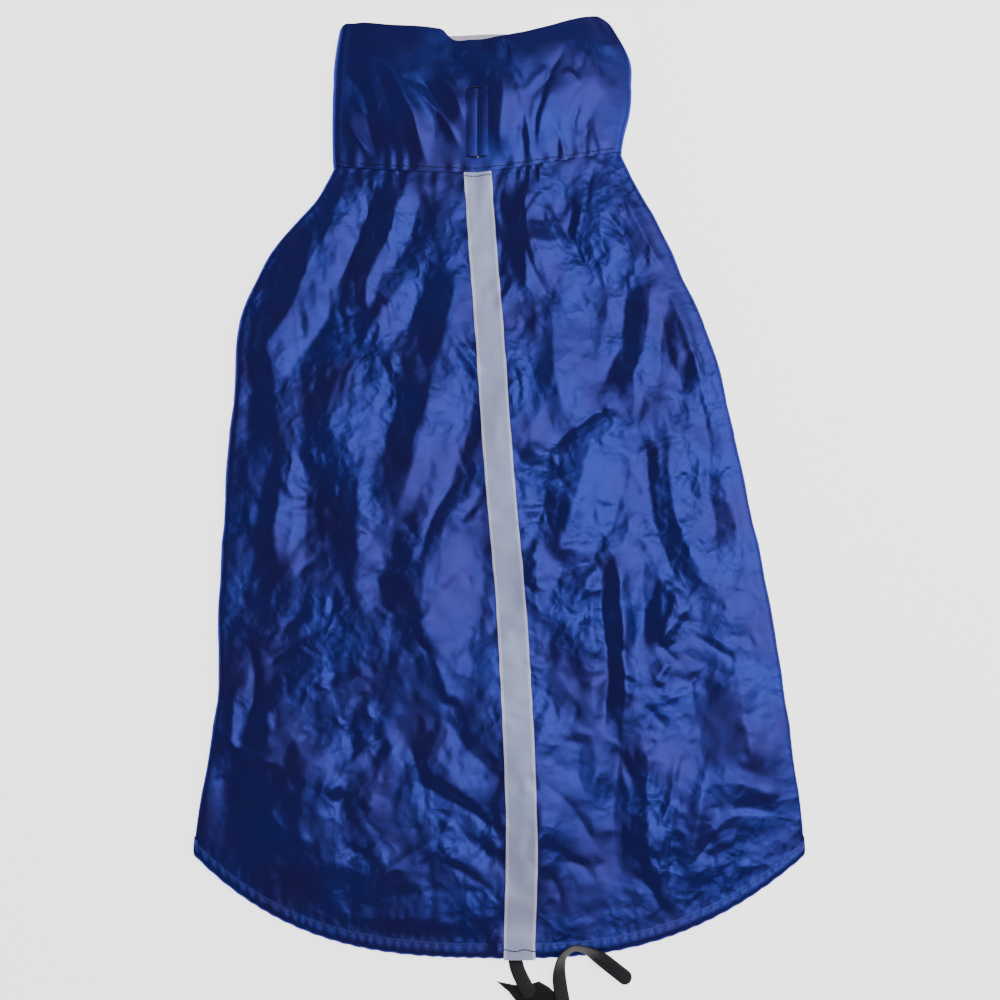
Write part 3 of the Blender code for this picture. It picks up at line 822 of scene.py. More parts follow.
def node(tree, kind, links=(), stops=(), **settings):
    """Adds a node. Settings are its attributes, or an input's value where the name is an input's
    with underscores for spaces. Links are pairs of an input and the socket that it comes from,
    and stops are the places and colours of a colour ramp."""
    made = tree.nodes.new(kind)
    for place, _ in stops[2:]:
        made.color_ramp.elements.new(place)
    for number, (place, colour) in enumerate(stops):
        made.color_ramp.elements[number].position = place
        made.color_ramp.elements[number].color = colour
    for name, value in settings.items():
        label = name.replace("_", " ")
        if label in made.inputs:
            made.inputs[label].default_value = value
        else:
            setattr(made, name, value)
    for target, source in links:
        tree.links.new(source, made.inputs[target])
    return made


def new_material(name):
    """A material with its nodes and its main shader."""
    made = bpy.data.materials.new(name)
    made.use_nodes = True
    tree = made.node_tree
    return made, tree, tree.nodes["Principled BSDF"]


def grey(value):
    """A neutral colour of one brightness."""
    return (value, value, value, 1)


def nylon_taffeta(settings):
    """Calendered nylon taffeta with a water-repellent coating: a dense plain weave, pressed so
    smooth that it shines like satin, in tinted highlights that break at every crinkle."""
    made, tree, shader = new_material("nylon_taffeta_calendered")
    where = node(tree, "ShaderNodeTexCoord").outputs["Object"]
    # Dye and coating vary over some centimetres, and a little from thread to thread.
    patchy = node(tree, "ShaderNodeTexNoise", [("Vector", where)], Scale=22.0, Detail=3.0)
    colour = node(
        tree,
        "ShaderNodeValToRGB",
        [("Fac", patchy.outputs["Fac"])],
        stops=[(0.36, linear(settings.nylon_purple)), (0.64, linear(settings.nylon_blue))],
    )
    worn = node(
        tree,
        "ShaderNodeMapRange",
        [("Value", patchy.outputs["Fac"])],
        From_Min=0.35,
        From_Max=0.65,
        To_Min=0.2,
        To_Max=1.0,
    )
    crinkled = node(tree, "ShaderNodeAttribute", attribute_name="crinkled")
    depths = node(
        tree,
        "ShaderNodeMath",
        [(0, worn.outputs["Result"]), (1, crinkled.outputs["Fac"])],
        operation="MULTIPLY",
    )
    # Threads are 0.2 mm apart, too fine to show, so the weave is drawn about 1 mm apart.
    per_metre = 1 / (settings.weave_pitch * 2 * math.pi)
    threads = [
        node(
            tree,
            "ShaderNodeTexWave",
            [("Vector", where)],
            bands_direction=way,
            Scale=per_metre * 0.5 * 2 * math.pi,
            Distortion=1.2,
            Detail=1.0,
            Detail_Scale=2.0,
        )
        for way in ("X", "Y")
    ]
    weave = node(
        tree,
        "ShaderNodeMath",
        [(number, wave.outputs["Fac"]) for number, wave in enumerate(threads)],
        operation="ADD",
    )
    # Crinkles 6 and 14 mm across that are pressed into the coating: flat facets that meet
    # in hard edges, deeper in some places than in others.
    drift = node(tree, "ShaderNodeTexNoise", [("Vector", where)], Scale=60.0, Detail=1.0)
    bent = node(
        tree,
        "ShaderNodeVectorMath",
        [(0, drift.outputs["Color"]), (2, where)],
        operation="MULTIPLY_ADD",
    )
    bent.inputs[1].default_value = (9 * MM, 9 * MM, 9 * MM)
    normal = None
    for across, depth in ((14 * MM, 1.1 * MM), (6 * MM, 0.42 * MM)):
        cells = node(
            tree,
            "ShaderNodeTexVoronoi",
            [("Vector", bent.outputs["Vector"])],
            voronoi_dimensions="2D",
            feature="F1",
            Scale=1 / across,
        )
        links = [("Height", cells.outputs["Distance"]), ("Strength", depths.outputs["Value"])]
        if normal:
            links.append(("Normal", normal.outputs["Normal"]))
        normal = node(tree, "ShaderNodeBump", links, Distance=depth)
    bump = node(
        tree,
        "ShaderNodeBump",
        [("Height", weave.outputs["Value"]), ("Normal", normal.outputs["Normal"])],
        Strength=0.15,
        Distance=0.2 * MM,
    )
    rough = node(
        tree, "ShaderNodeMapRange", [("Value", patchy.outputs["Fac"])], To_Min=0.18, To_Max=0.26
    )
    tree.links.new(colour.outputs["Color"], shader.inputs["Base Color"])
    tree.links.new(rough.outputs["Result"], shader.inputs["Roughness"])
    tree.links.new(bump.outputs["Normal"], shader.inputs["Normal"])
    shader.inputs["Metallic"].default_value = 0.75
    shader.inputs["Specular IOR Level"].default_value = 0.25
    # Seen along the cloth the coating shines in the dye's colour, not white.
    shader.inputs["Specular Tint"].default_value = linear("#9298D0")
    return made


def tape_material(settings):
    """Glass-bead reflective tape on a polyester backing: satin grey with a faint bead grain,
    paler along both edges where the backing shows."""
    made, tree, shader = new_material("reflective_tape_glass_bead")
    edge = node(tree, "ShaderNodeAttribute", attribute_name="edge")
    where = node(tree, "ShaderNodeTexCoord").outputs["Object"]
    grain = node(tree, "ShaderNodeTexNoise", [("Vector", where)], Scale=900.0, Detail=2.0)
    soft = node(tree, "ShaderNodeTexNoise", [("Vector", where)], Scale=16.0, Detail=2.0)
    tone = node(
        tree,
        "ShaderNodeMix",
        [("Factor", soft.outputs["Fac"])],
        data_type="RGBA",
    )
    tone.inputs["A"].default_value = linear(settings.tape_grey)
    tone.inputs["B"].default_value = linear(settings.tape_blue)
    pale = node(
        tree,
        "ShaderNodeMix",
        [("Factor", edge.outputs["Fac"]), ("A", tone.outputs["Result"])],
        data_type="RGBA",
    )
    pale.inputs["B"].default_value = linear(settings.tape_edge)
    bump = node(
        tree,
        "ShaderNodeBump",
        [("Height", grain.outputs["Fac"])],
        Strength=0.25,
        Distance=0.15 * MM,
    )
    tree.links.new(pale.outputs["Result"], shader.inputs["Base Color"])
    tree.links.new(bump.outputs["Normal"], shader.inputs["Normal"])
    shader.inputs["Metallic"].default_value = 0.25
    shader.inputs["Roughness"].default_value = 0.5
    return made


def plain_cloth(name, colour, roughness, scale, strength, distance, tint=1.25):
    """Cloth whose colour and relief vary with one grain."""
    made, tree, shader = new_material(name)
    where = node(tree, "ShaderNodeTexCoord").outputs["Object"]
    grain = node(tree, "ShaderNodeTexNoise", [("Vector", where)], Scale=scale, Detail=3.0)
    base = linear(colour)
    light = tuple(min(1, c * tint) for c in base[:3]) + (1,)
    tone = node(
        tree,
        "ShaderNodeValToRGB",
        [("Fac", grain.outputs["Fac"])],
        stops=[(0.35, base), (0.65, light)],
    )
    bump = node(
        tree,
        "ShaderNodeBump",
        [("Height", grain.outputs["Fac"])],
        Strength=strength,
        Distance=distance,
    )
    tree.links.new(tone.outputs["Color"], shader.inputs["Base Color"])
    tree.links.new(bump.outputs["Normal"], shader.inputs["Normal"])
    shader.inputs["Roughness"].default_value = roughness
    return made, tree, shader


LOOKS = {}


def look(name, settings):
    """A material by its short name, made once."""
    found = LOOKS.get(name)
    if found:
        return found
    if name == "nylon":
        LOOKS[name] = nylon_taffeta(settings)
    elif name == "tape":
        LOOKS[name] = tape_material(settings)
    elif name == "lining":
        # Brushed polyester knit: matt, with soft mottling from its short pile.
        LOOKS[name], _, shader = plain_cloth(
            "polyester_knit_brushed", settings.lining, 0.9, 700.0, 0.5, 0.4 * MM
        )
        shader.inputs["Sheen Weight"].default_value = 0.3
    elif name == "navy_thread":
        # Spun polyester sewing thread, dyed darker than the cloth: thin dull lines.
        LOOKS[name], _, _ = plain_cloth(
            "polyester_thread_navy", settings.thread, 0.55, 2500.0, 0.3, 0.1 * MM
        )
    elif name == "pale_thread":
        # Spun polyester sewing thread in the tape's grey: stitches that hardly show on it.
        LOOKS[name], _, _ = plain_cloth(
            "polyester_thread_grey", settings.pale_thread, 0.6, 2500.0, 0.3, 0.1 * MM
        )
    elif name == "webbing":
        LOOKS[name] = webbing_material(settings)
    elif name == "nap":
        # Brushed loop pile, the soft half of a touch fastener: dull black that takes no gloss.
        LOOKS[name], _, shader = plain_cloth(
            "nylon_loop_pile_napped", settings.nap, 0.95, 1300.0, 0.9, 0.6 * MM, 2.2
        )
        shader.inputs["Sheen Weight"].default_value = 0.15
        shader.inputs["Sheen Roughness"].default_value = 0.6
    return LOOKS[name]


def webbing_material(settings):
    """Woven polypropylene webbing: matt black with ribs across it, a painted highlight on the top of each
    rib and painted shade in the grooves between them.
    """
    made, tree, shader = new_material("polypropylene_webbing_woven")
    rib = node(tree, "ShaderNodeAttribute", attribute_name="rib")
    # The rib height sets the colour: the nap's near-black as painted shade in the grooves, and the strap's
    # grey as a painted highlight on the rib tops.
    tone = node(
        tree,
        "ShaderNodeValToRGB",
        [("Fac", rib.outputs["Fac"])],
        stops=[(0.2, linear(settings.nap)), (1.0, linear(settings.webbing))],
    )
    where = node(tree, "ShaderNodeTexCoord").outputs["Object"]
    grain = node(tree, "ShaderNodeTexNoise", [("Vector", where)], Scale=2200.0, Detail=2.0)
    bump = node(
        tree,
        "ShaderNodeBump",
        [("Height", grain.outputs["Fac"])],
        Strength=0.4,
        Distance=0.2 * MM,
    )
    tree.links.new(tone.outputs["Color"], shader.inputs["Base Color"])
    tree.links.new(bump.outputs["Normal"], shader.inputs["Normal"])
    shader.inputs["Roughness"].default_value = 0.62
    return made


# ---------------------------------------------------------------------------- settings


class RaincoatSettings(bpy.types.PropertyGroup):
    """Sizes and colours of the raincoat's cloth and trims."""

    nylon_blue: StringProperty(
        name="Nylon blue", description="Colour of the nylon's highlights", default="#2B3789"
    )
    nylon_purple: StringProperty(
        name="Nylon purple", description="Colour of the nylon where its dye is warmer", default="#30327A"
    )
    tape_grey: StringProperty(
        name="Tape grey", description="Colour of the reflective tape", default="#AFBACD"
    )
    tape_blue: StringProperty(
        name="Tape blue", description="Colour of the tape's cooler patches", default="#A4BEEE"
    )
    tape_edge: StringProperty(
        name="Tape edge", description="Colour of the backing along the tape's edges", default="#DFE6FF"
    )
    lining: StringProperty(
        name="Lining", description="Colour of the collar's lining", default="#C9C8D6"
    )
    thread: StringProperty(
        name="Navy thread", description="Colour of the seam thread", default="#0B1030"
    )
    pale_thread: StringProperty(
        name="Grey thread", description="Colour of the tape's stitching", default="#B9C0D2"
    )
    # The strap's grey is also the painted highlight on the webbing's rib tops.
    webbing: StringProperty(
        name="Webbing", description="Colour of the strap", default="#222126"
    )
    # The nap's near-black also serves as painted shade in the webbing's grooves.
    nap: StringProperty(name="Nap", description="Colour of the napped patch", default="#040405")
    weave_pitch: FloatProperty(
        name="Weave pitch",
        description="Distance between the threads as drawn",
        default=1.0 * MM,
        unit="LENGTH",
    )
    crumple: FloatProperty(
        name="Crumple",
        description="How deep the small facets of the cloth are",
        default=1.0,
        min=0.0,
        max=2.0,
        subtype="FACTOR",
    )
    distance: FloatProperty(
        name="Camera distance",
        description="From the camera to the middle of the coat",
        default=0.88,
        unit="LENGTH",
    )
    tilt: FloatProperty(
        name="Camera tilt",
        description="How far the camera leans from the vertical, towards the tail",
        default=math.radians(14.7),
        subtype="ANGLE",
    )
    view_middle: FloatVectorProperty(
        name="View middle",
        description="The point that the camera looks at",
        default=(0.0001, -0.0366, 0.0),
        size=3,
        subtype="TRANSLATION",
    )
    half_view: FloatProperty(
        name="Half view",
        description="Half the width that the camera takes in at the coat",
        default=0.3472,
        unit="LENGTH",
    )


# ---------------------------------------------------------------------------- operators


class RAINCOAT_OT_camera(bpy.types.Operator):
    """Adds the camera above the coat, leaning towards the tail"""

    bl_idname = "raincoat.camera"
    bl_label = "Camera"

    def execute(self, context):
        settings = context.scene.raincoat
        middle = Vector(settings.view_middle)
        lean = Vector((0, -math.sin(settings.tilt), math.cos(settings.tilt)))
        data = bpy.data.cameras.new("camera")
        data.angle = 2 * math.atan(settings.half_view / settings.distance)
        data.clip_start = 0.01
        camera = bpy.data.objects.new("camera", data)
        camera.location = middle + lean * settings.distance
        camera.rotation_euler = (settings.tilt, 0, 0)
        context.scene.collection.objects.link(camera)
        context.scene.camera = camera
        return {"FINISHED"}


def strap_sections(places, steps):
    """The strap's middle line in metres, and the ways to its side and to its face."""
    table = np.array(places, float)
    lengths = np.linalg.norm(np.diff(table[:, :3], axis=0), axis=1)
    along = np.concatenate([[0], np.cumsum(lengths)])
    at = np.linspace(0, along[-1], steps)
    middle = np.stack([through(along, table[:, k], at) for k in range(3)], axis=1) * MM
    turn = np.radians(through(along, table[:, 3], at))
    way = np.gradient(middle, axis=0)
    way /= np.linalg.norm(way, axis=1, keepdims=True)
    flat = np.cross(way, [0, 0, 1])
    flat /= np.linalg.norm(flat, axis=1, keepdims=True)
    up = np.cross(flat, way)
    side = flat * np.cos(turn)[:, None] + up * np.sin(turn)[:, None]
    return middle, side, np.cross(side, way)


def ribbed_strap(name, middle, side, face, settings):
    """Webbing with fine ribs across it and a rounded selvedge along both edges."""
    ring = []
    for k in np.linspace(0, 2 * math.pi, 20, endpoint=False):
        ring.append((math.copysign(abs(math.cos(k)) ** 0.35, math.cos(k)), math.sin(k)))
    steps = np.linalg.norm(np.diff(middle, axis=0), axis=1)
    along = np.concatenate([[0], np.cumsum(steps)])
    rib = 0.5 + 0.5 * np.cos(2 * math.pi * along / (1.5 * MM))
    to_end = (along[-1] - along) / (STRAP_WIDTH * 0.45)
    round_end = np.sqrt(np.clip(1 - (1 - np.clip(to_end, 0, 1)) ** 2, 0.05, 1))
    grid = []
    for place, a, b, lift, full in zip(middle, side, face, rib, round_end):
        thick = STRAP / 2 * (0.8 + 0.2 * lift)
        half = STRAP_WIDTH / 2 * full
        grid.append([place + a * u * half + b * v * thick for u, v in ring])
    grid = np.array(grid)
    rows, columns = grid.shape[:2]
    faces = quad_grid(rows, columns, close=True).tolist()
    faces.append(list(range(columns))[::-1])
    faces.append([(rows - 1) * columns + k for k in range(columns)])
    made = add_mesh(name, grid, faces, look("webbing", settings))
    # The rib height also goes to the material, which uses it to paint shade into the grooves and a
    # highlight onto the rib tops.
    return point_values(made, "rib", np.repeat(rib, columns))


class RAINCOAT_OT_strap(bpy.types.Operator):
    """Adds the strap's two runs, its sewn end and the napped patch between them"""

    bl_idname = "raincoat.strap"
    bl_label = "Strap"

    def execute(self, context):
        settings = context.scene.raincoat
        middle, side, face = strap_sections(SEWN_RUN, 280)
        sewn = ribbed_strap("webbing_sewn_run", middle, side, face, settings)
        finish_piece(sewn, "black_webbing", "strap_sewn_run")
        middle, side, face = strap_sections(FREE_RUN, 360)
        free = ribbed_strap("webbing_free_run", middle, side, face, settings)
        finish_piece(free, "black_webbing", "strap_free_run")
        steps = np.linalg.norm(np.diff(middle, axis=0), axis=1)
        to_end = np.append(np.cumsum(steps[::-1])[::-1], 0)
        doubled = to_end < END_FOLD
        below = middle[doubled] - face[doubled] * (STRAP + GAP)
        end = ribbed_strap("webbing_end_fold", below, side[doubled], face[doubled], settings)
        finish_piece(end, "black_webbing", "strap_end_fold")
        stitches = self.end_stitches(middle, side, face, doubled, settings)
        patch = self.patch(settings)
        return {"FINISHED"}

    def end_stitches(self, middle, side, face, doubled, settings):
        """Two rows of stitches along the doubled end."""
        runs = []
        for share in (-0.28, 0.28):
            line = middle[doubled] + side[doubled] * STRAP_WIDTH * share
            runs.append((line + face[doubled] * STRAP * 0.5, 2.2 * MM, 0.7 * MM))
        return stitches_object(
            "strap_end_stitches", runs, look("navy_thread", settings), "black_webbing", 0.25 * MM
        )

    def patch(self, settings):
        """A soft low pad with a ragged edge of pile."""
        corners = np.array(PATCH, float) * MM
        closed = np.concatenate([corners, corners[:1]])
        lengths = np.concatenate([[0], np.cumsum(np.hypot(*np.diff(closed, axis=0).T))])
        at = np.linspace(0, lengths[-1], 220, endpoint=False)
        outline = np.stack([np.interp(at, lengths, closed[:, k]) for k in range(2)], axis=1)
        centre = outline.mean(axis=0)
        rng = np.random.default_rng(5)
        ragged = rng.uniform(-1, 1, len(outline)) * 0.012
        rings = []
        for share, height in PATCH_PROFILE:
            ring = centre + (outline - centre) * (share + ragged[:, None] * (share > 0.95))
            z = PATCH_HEIGHT * height * (1 + 0.10 * soft_noise(ring[:, 0], ring[:, 1], 3 * MM, 9))
            rings.append(np.column_stack([ring, z]))
        grid = np.array(rings)
        rows, columns = grid.shape[:2]
        faces = quad_grid(rows, columns, close=True).tolist()
        faces.append([(rows - 1) * columns + k for k in range(columns)])
        faces.append(list(range(columns))[::-1])
        made = add_mesh("napped_patch", grid, faces, look("nap", settings))
        return finish_piece(made, "black_nap", "strap_patch")


def kept_above(z, lowest, margin, where):
    """Heights that come down softly to the lowest one within a margin above it."""
    soft = lowest + margin * np.exp((z - lowest) / margin - 1)
    return np.where(where & (z < lowest + margin), soft, z)


def back_grid(settings):
    """The fine cloth of the back, with every crease, in metres around the seam."""
    grid = np.array([body_section(down) for down in np.linspace(0, 1, BACK_ROWS)])
    x, y, turned, from_fold = grid[..., 0], grid[..., 1], grid[..., 3], grid[..., 4]
    top = smooth_step(from_fold / (12 * MM))
    across_ends = np.minimum(y[:1] - y, y - y[-1:])
    ends = smooth_step(across_ends / (14 * MM))
    share = crinkled_share(x, y)
    relief = CREASE_SHARE * creases_at(BACK_CREASES, x, y)
    relief += settings.crumple * (0.6 + 0.4 * share) * crumple(x, y)
    strewn = short_creases(260, 101, -165, 200, -500, -230, False)
    strewn += short_creases(150, 103, -150, 170, -250, -10, True)
    relief += settings.crumple * share * creases_at(strewn, x, y)
    gathers = hem_gathers(x, y - y[-1:], 61) * top + seam_gathers(x, y[:1] - y, 67) * top
    pinned = smooth_step(across_ends / (2.5 * MM))
    relief = relief * top * ends + gathers * pinned
    z = grid[..., 2] + relief
    z = kept_above(z, LOWEST_TOP, 2 * MM, turned == 1)
    z = np.where((turned == 1) & (from_fold > 0), z, grid[..., 2])
    # The rear edge comes down onto the hem casing's lip.
    z = z + turned * (casing_floor(x) - 0.7 * MM) * (1 - smooth_step((y - y[-1:]) / (12 * MM)))
    under = (1 - turned) * np.abs(crumple(x, y, 5)) * 0.25 * pinned
    z = z + under
    centre = column(BODY, "centre", np.linspace(0, 1, BACK_ROWS))[:, None]
    side = np.where(grid[..., 0] < centre, -1, 1)
    grid[..., 0] += side * wall_wobble(grid, turned, 71) * pinned
    grid[..., 2] = z
    return grid[..., :3]


def collar_grid(side, settings):
    """The fine cloth of one half of the collar, in metres around the seam."""
    ups = np.linspace(0, 1, COLLAR_ROWS)
    grid = np.array([collar_section(up, side) for up in ups])
    x, y, turned, from_fold = grid[..., 0], grid[..., 1], grid[..., 3], grid[..., 4]
    up = ups[:, None] * COLLAR_HEIGHT
    top = smooth_step(from_fold / (14 * MM))
    past_slit = np.maximum(SLIT_LENGTH[0] - ups, ups - SLIT_LENGTH[1])[:, None] * COLLAR_HEIGHT
    from_slit = np.hypot(np.maximum(np.abs(x) - WELT_WIDTH * 0.6, 0), np.maximum(past_slit, 0))
    calm = 0.2 + 0.8 * smooth_step(from_slit / (14 * MM))
    crest, height = COLLAR_CREST
    relief = COLLAR_CREASE_SHARE * creases_at(COLLAR_CREASES, x, y)
    relief += settings.crumple * COLLAR_CRINKLED * crumple(x, y, 3)
    strewn = short_creases(40, 107, -100, 100, 6, 100, True)
    relief += settings.crumple * 0.6 * creases_at(strewn, x, y)
    gathers = 0.6 * seam_gathers(x, up, 83) * smooth_step(up / (2 * MM))
    relief = relief * smooth_step(up / (10 * MM)) + gathers
    bowed = height * (1 - np.abs(x - crest) / (115 * MM)) * smooth_step(up / (60 * MM))
    relief = relief * top * calm + bowed * top
    grid[..., 2] += np.where(turned == 1, relief, 0)
    grid[..., 2] += (1 - turned) * np.abs(crumple(x, y, 9)) * 0.3 * smooth_step(up / (8 * MM))
    grid[..., 0] += side * wall_wobble(grid, turned, 77) * smooth_step(up / (6 * MM))
    return grid[..., :3]


class RAINCOAT_OT_back(bpy.types.Operator):
    """Adds the back panel with its creases, the reflective tape on it and the gathered hem"""

    bl_idname = "raincoat.back"
    bl_label = "Back, tape and hem"

    def execute(self, context):
        settings = context.scene.raincoat
        nylon = look("nylon", settings)
        grid = back_grid(settings)
        back = grid_object("nylon_back", grid, nylon)
        point_values(back, "crinkled", crinkled_share(grid[..., 0], grid[..., 1]).ravel())
        finish_piece(back, "nylon_shell", "back_panel")
        casing = self.casing(grid, nylon)
        hem_stitches = self.hem_stitches(grid, settings)
        tape = self.tape(grid, settings)
        tape_stitches = self.tape_stitches(grid, settings)
        tacks = self.tape_tacks(grid, settings)
        return {"FINISHED"}

    def casing(self, grid, nylon):
        """The turned hem: a soft rounded bar, pinched at every gather."""
        fold = UNDER_STEPS + ROLL_STEPS // 2
        top = grid[-1][fold:-fold]
        at = np.linspace(0, len(top) - 1, 520)
        x = np.interp(at, np.arange(len(top)), top[:, 0])
        front = np.interp(at, np.arange(len(top)), top[:, 1]) - GAP
        pinch = np.sin(2 * math.pi * (x / (6.2 * MM) + 0.5 * soft_noise(x, 0 * x, 20 * MM, 61)))
        edge = 0.2 * MM * np.sin(2 * math.pi * x / (9 * MM) + 3 * soft_noise(x, 0 * x, 30 * MM, 63))
        rings = []
        for share, up in CASING_PROFILE:
            puff = 0.12 * MM * pinch * math.sin(math.pi * min(max(share, 0), 1)) * (up > 0.5)
            y = front - CASING_WIDTH * share + edge * (share > 0.5)
            z = casing_floor(x) + CASING * up + puff
            rings.append(np.stack([x, y, z], axis=1))
        rings = np.array(rings).transpose(1, 0, 2)
        rows, columns = rings.shape[:2]
        faces = quad_grid(rows, columns, close=True).tolist()
        faces.append(list(range(columns))[::-1])
        faces.append([(rows - 1) * columns + k for k in range(columns)])
        made = point_values(add_mesh("nylon_hem_casing", rings, faces, nylon), "crinkled", 0.3)
        return finish_piece(made, "nylon_shell", "hem_casing")

    def hem_stitches(self, grid, settings):
        """A row of stitches along the casing's top."""
        fold = UNDER_STEPS + ROLL_STEPS
        top = grid[-1][fold:-fold]
        line = top.copy()
        line[:, 1] -= 1.6 * MM
        line[:, 2] = casing_floor(line[:, 0]) + CASING * 0.98
        runs = [(line, 2.6 * MM, 0.9 * MM)]
        return stitches_object("hem_stitches", runs, look("navy_thread", settings), "nylon_shell")

    def tape(self, grid, settings):
        """The tape lies on the middle of the back and over the hem casing to its edge."""
        offsets = np.array([-10, -9.2, -8.4, -8.1, -5, -2.5, 0, 2.5, 5, 8.1, 8.4, 9.2, 10]) * MM
        strip = self.on_back(grid, offsets)
        over = []
        for past in np.linspace(1.2 * MM, CASING_WIDTH + 1.0 * MM, 6):
            row = strip[-1].copy()
            row[:, 1] -= past
            row[:, 2] = casing_floor(row[:, 0]) + CASING + 3.2 * GAP
            over.append(row)
        whole = np.concatenate([strip, np.array(over)])
        y = whole[..., 1]
        edge_wave = 0.25 * MM * soft_noise(y, 0 * y, 9 * MM, 91)
        whole[..., 0] += edge_wave * np.sign(offsets) * (np.abs(offsets) > 9 * MM)
        made = grid_object("bead_tape", whole, look("tape", settings))
        pale = (np.abs(offsets) > 8.2 * MM).astype(float)
        point_values(made, "edge", np.tile(pale, len(whole)))
        thicken(made, 0.5 * MM)
        return finish_piece(made, "reflective_tape", "reflective_tape")

    def on_back(self, grid, offsets):
        """Points of a strip along the middle of the back, just above its highest threads."""
        rows = []
        middle = grid.shape[1] // 2
        smooth = smooth_rows(grid[:, middle - 8 : middle + 9, 2])
        for k, row in enumerate(grid):
            part = row[middle - 14 : middle + 15]
            centre = row[middle, 0]
            x = centre + offsets
            y = np.interp(x, part[:, 0], part[:, 1])
            z = np.interp(x, part[:, 0], part[:, 2])
            flat = smooth[k].mean()
            z = flat + 0.55 * (z - flat)
            z = np.maximum(z, np.interp(x, part[:, 0], part[:, 2])) + TAPE_LIFT
            rows.append(np.stack([x, y, z], axis=1))
        return np.array(rows)

    def tape_stitches(self, grid, settings):
        """A row of stitches along both of the tape's edges."""
        runs = []
        offsets = np.array([-TAPE_WIDTH / 2 + 1.1 * MM, TAPE_WIDTH / 2 - 1.1 * MM])
        strip = self.on_back(grid, offsets)
        strip[..., 2] += 0.3 * MM
        for k in range(2):
            runs.append((strip[:, k], 2.8 * MM, 0.5 * MM))
        edges = stitches_object(
            "tape_stitches", runs, look("pale_thread", settings), "reflective_tape", 0.22 * MM
        )
        return edges

    def tape_tacks(self, grid, settings):
        """Navy stitches across both ends of the tape."""
        runs = []
        offsets = np.linspace(-TAPE_WIDTH / 2, TAPE_WIDTH / 2, 15)
        strip = self.on_back(grid, offsets)
        top = strip[2] + np.array([0, 0, 0.35 * MM])
        low = strip[-1] + np.array([0, -4.2 * MM, 0.0])
        low[:, 1] += 0.6 * MM * np.sin(offsets * 500)
        low[:, 2] = casing_floor(low[:, 0]) + CASING + 3.2 * GAP + 0.45 * MM
        runs = [(top, 2.2 * MM, 0.7 * MM), (low, 2.4 * MM, 0.4 * MM)]
        return stitches_object(
            "tape_end_stitches", runs, look("navy_thread", settings), "reflective_tape", 0.3 * MM
        )


def smooth_rows(values):
    """Each row averaged with its neighbours, so that a stiff trim spans the small creases."""
    padded = np.pad(values, ((6, 6), (0, 0)), mode="edge")
    return sum(padded[k : k + len(values)] for k in range(13)) / 13


def casing_floor(x):
    """The hem lies on the surface, except where the strap comes out from under it."""
    strap = SEWN_RUN[1].x * MM
    return 1.9 * MM * smooth_step(2.2 - np.abs(x - strap) / (8 * MM))


class RAINCOAT_OT_underside(bpy.types.Operator):
    """Adds the chest and belly panels with the two front leg openings"""

    bl_idname = "raincoat.underside"
    bl_label = "Chest and belly panels"

    def execute(self, context):
        settings = context.scene.raincoat
        nylon = look("nylon", settings)
        names = (("nylon_chest", 0, LEG_SHARE, "chest_panel"), ("nylon_belly", LEG_SHARE, 1, "belly_panel"))
        for name, first, last, stands_for in names:
            grid = self.panel_grid(first, last)
            faces = quad_grid(*grid.shape[:2])
            made = add_mesh(name, grid, faces, nylon)
            self.cut_legs(made)
            point_values(made, "crinkled", 0.6)
            thicken(made, 0.6 * MM)
            finish_piece(made, "nylon_shell", stands_for)
        return {"FINISHED"}

    def panel_grid(self, first, last):
        """One panel of the underside, between two shares of its length."""
        rows = []
        for share in np.linspace(first, last, 74):
            row = []
            for side in (-1, 1):
                line = np.linspace(1, 0, 60)
                down = share * (BELLY_REAR - BELLY_CURVE * (1 - line**2) ** 1.5)
                across = across_from(BODY, down, side, UNDER_TURN + GAP) * line
                end = panel_end(across) + UNDER_SHORT
                y = throat_seam(across) - GAP / 2 + (end - throat_seam(across)) * down
                x = across_to_x(BODY, down, across)
                half = np.stack([x, y, np.full_like(x, 0.6 * MM)], axis=1)
                row.append(half if side < 0 else half[-2::-1])
            rows.append(np.concatenate(row))
        grid = np.array(rows)
        if first > 0:
            grid[0, :, 1] -= GAP
        x, y = grid[..., 0], grid[..., 1]
        grid[..., 2] += np.abs(crumple(x, y, 13)) * 0.28
        return grid

    def cut_legs(self, made):
        """Removes the cloth inside both leg openings and pulls its edge onto the oval."""
        built = bmesh.new()
        built.from_mesh(made.data)
        inside = []
        for vert in built.verts:
            x, y = vert.co.x - SEAM[0], vert.co.y - SEAM[1]
            for side in (-1, 1):
                u = (x - LEG_MIDDLE - side * LEG_CENTRE[0]) / LEG_SIZE[0]
                v = (y - LEG_CENTRE[1]) / LEG_SIZE[1]
                reach = math.hypot(u, v)
                if reach < 0.94:
                    inside.append(vert)
                elif reach < 1.05:
                    vert.co.x += (x - LEG_MIDDLE - side * LEG_CENTRE[0]) * (1 / reach - 1)
                    vert.co.y += (y - LEG_CENTRE[1]) * (1 / reach - 1)
        bmesh.ops.delete(built, geom=inside, context="VERTS")
        built.to_mesh(made.data)
        built.free()

    def area(self, made):
        """The cut's area, which is never more than its box."""
        box = np.ptp(np.array([v.co for v in made.data.vertices]), axis=0)
        found = sum(p.area for p in made.data.polygons)
        return min(found, 0.99 * box[0] * box[1])


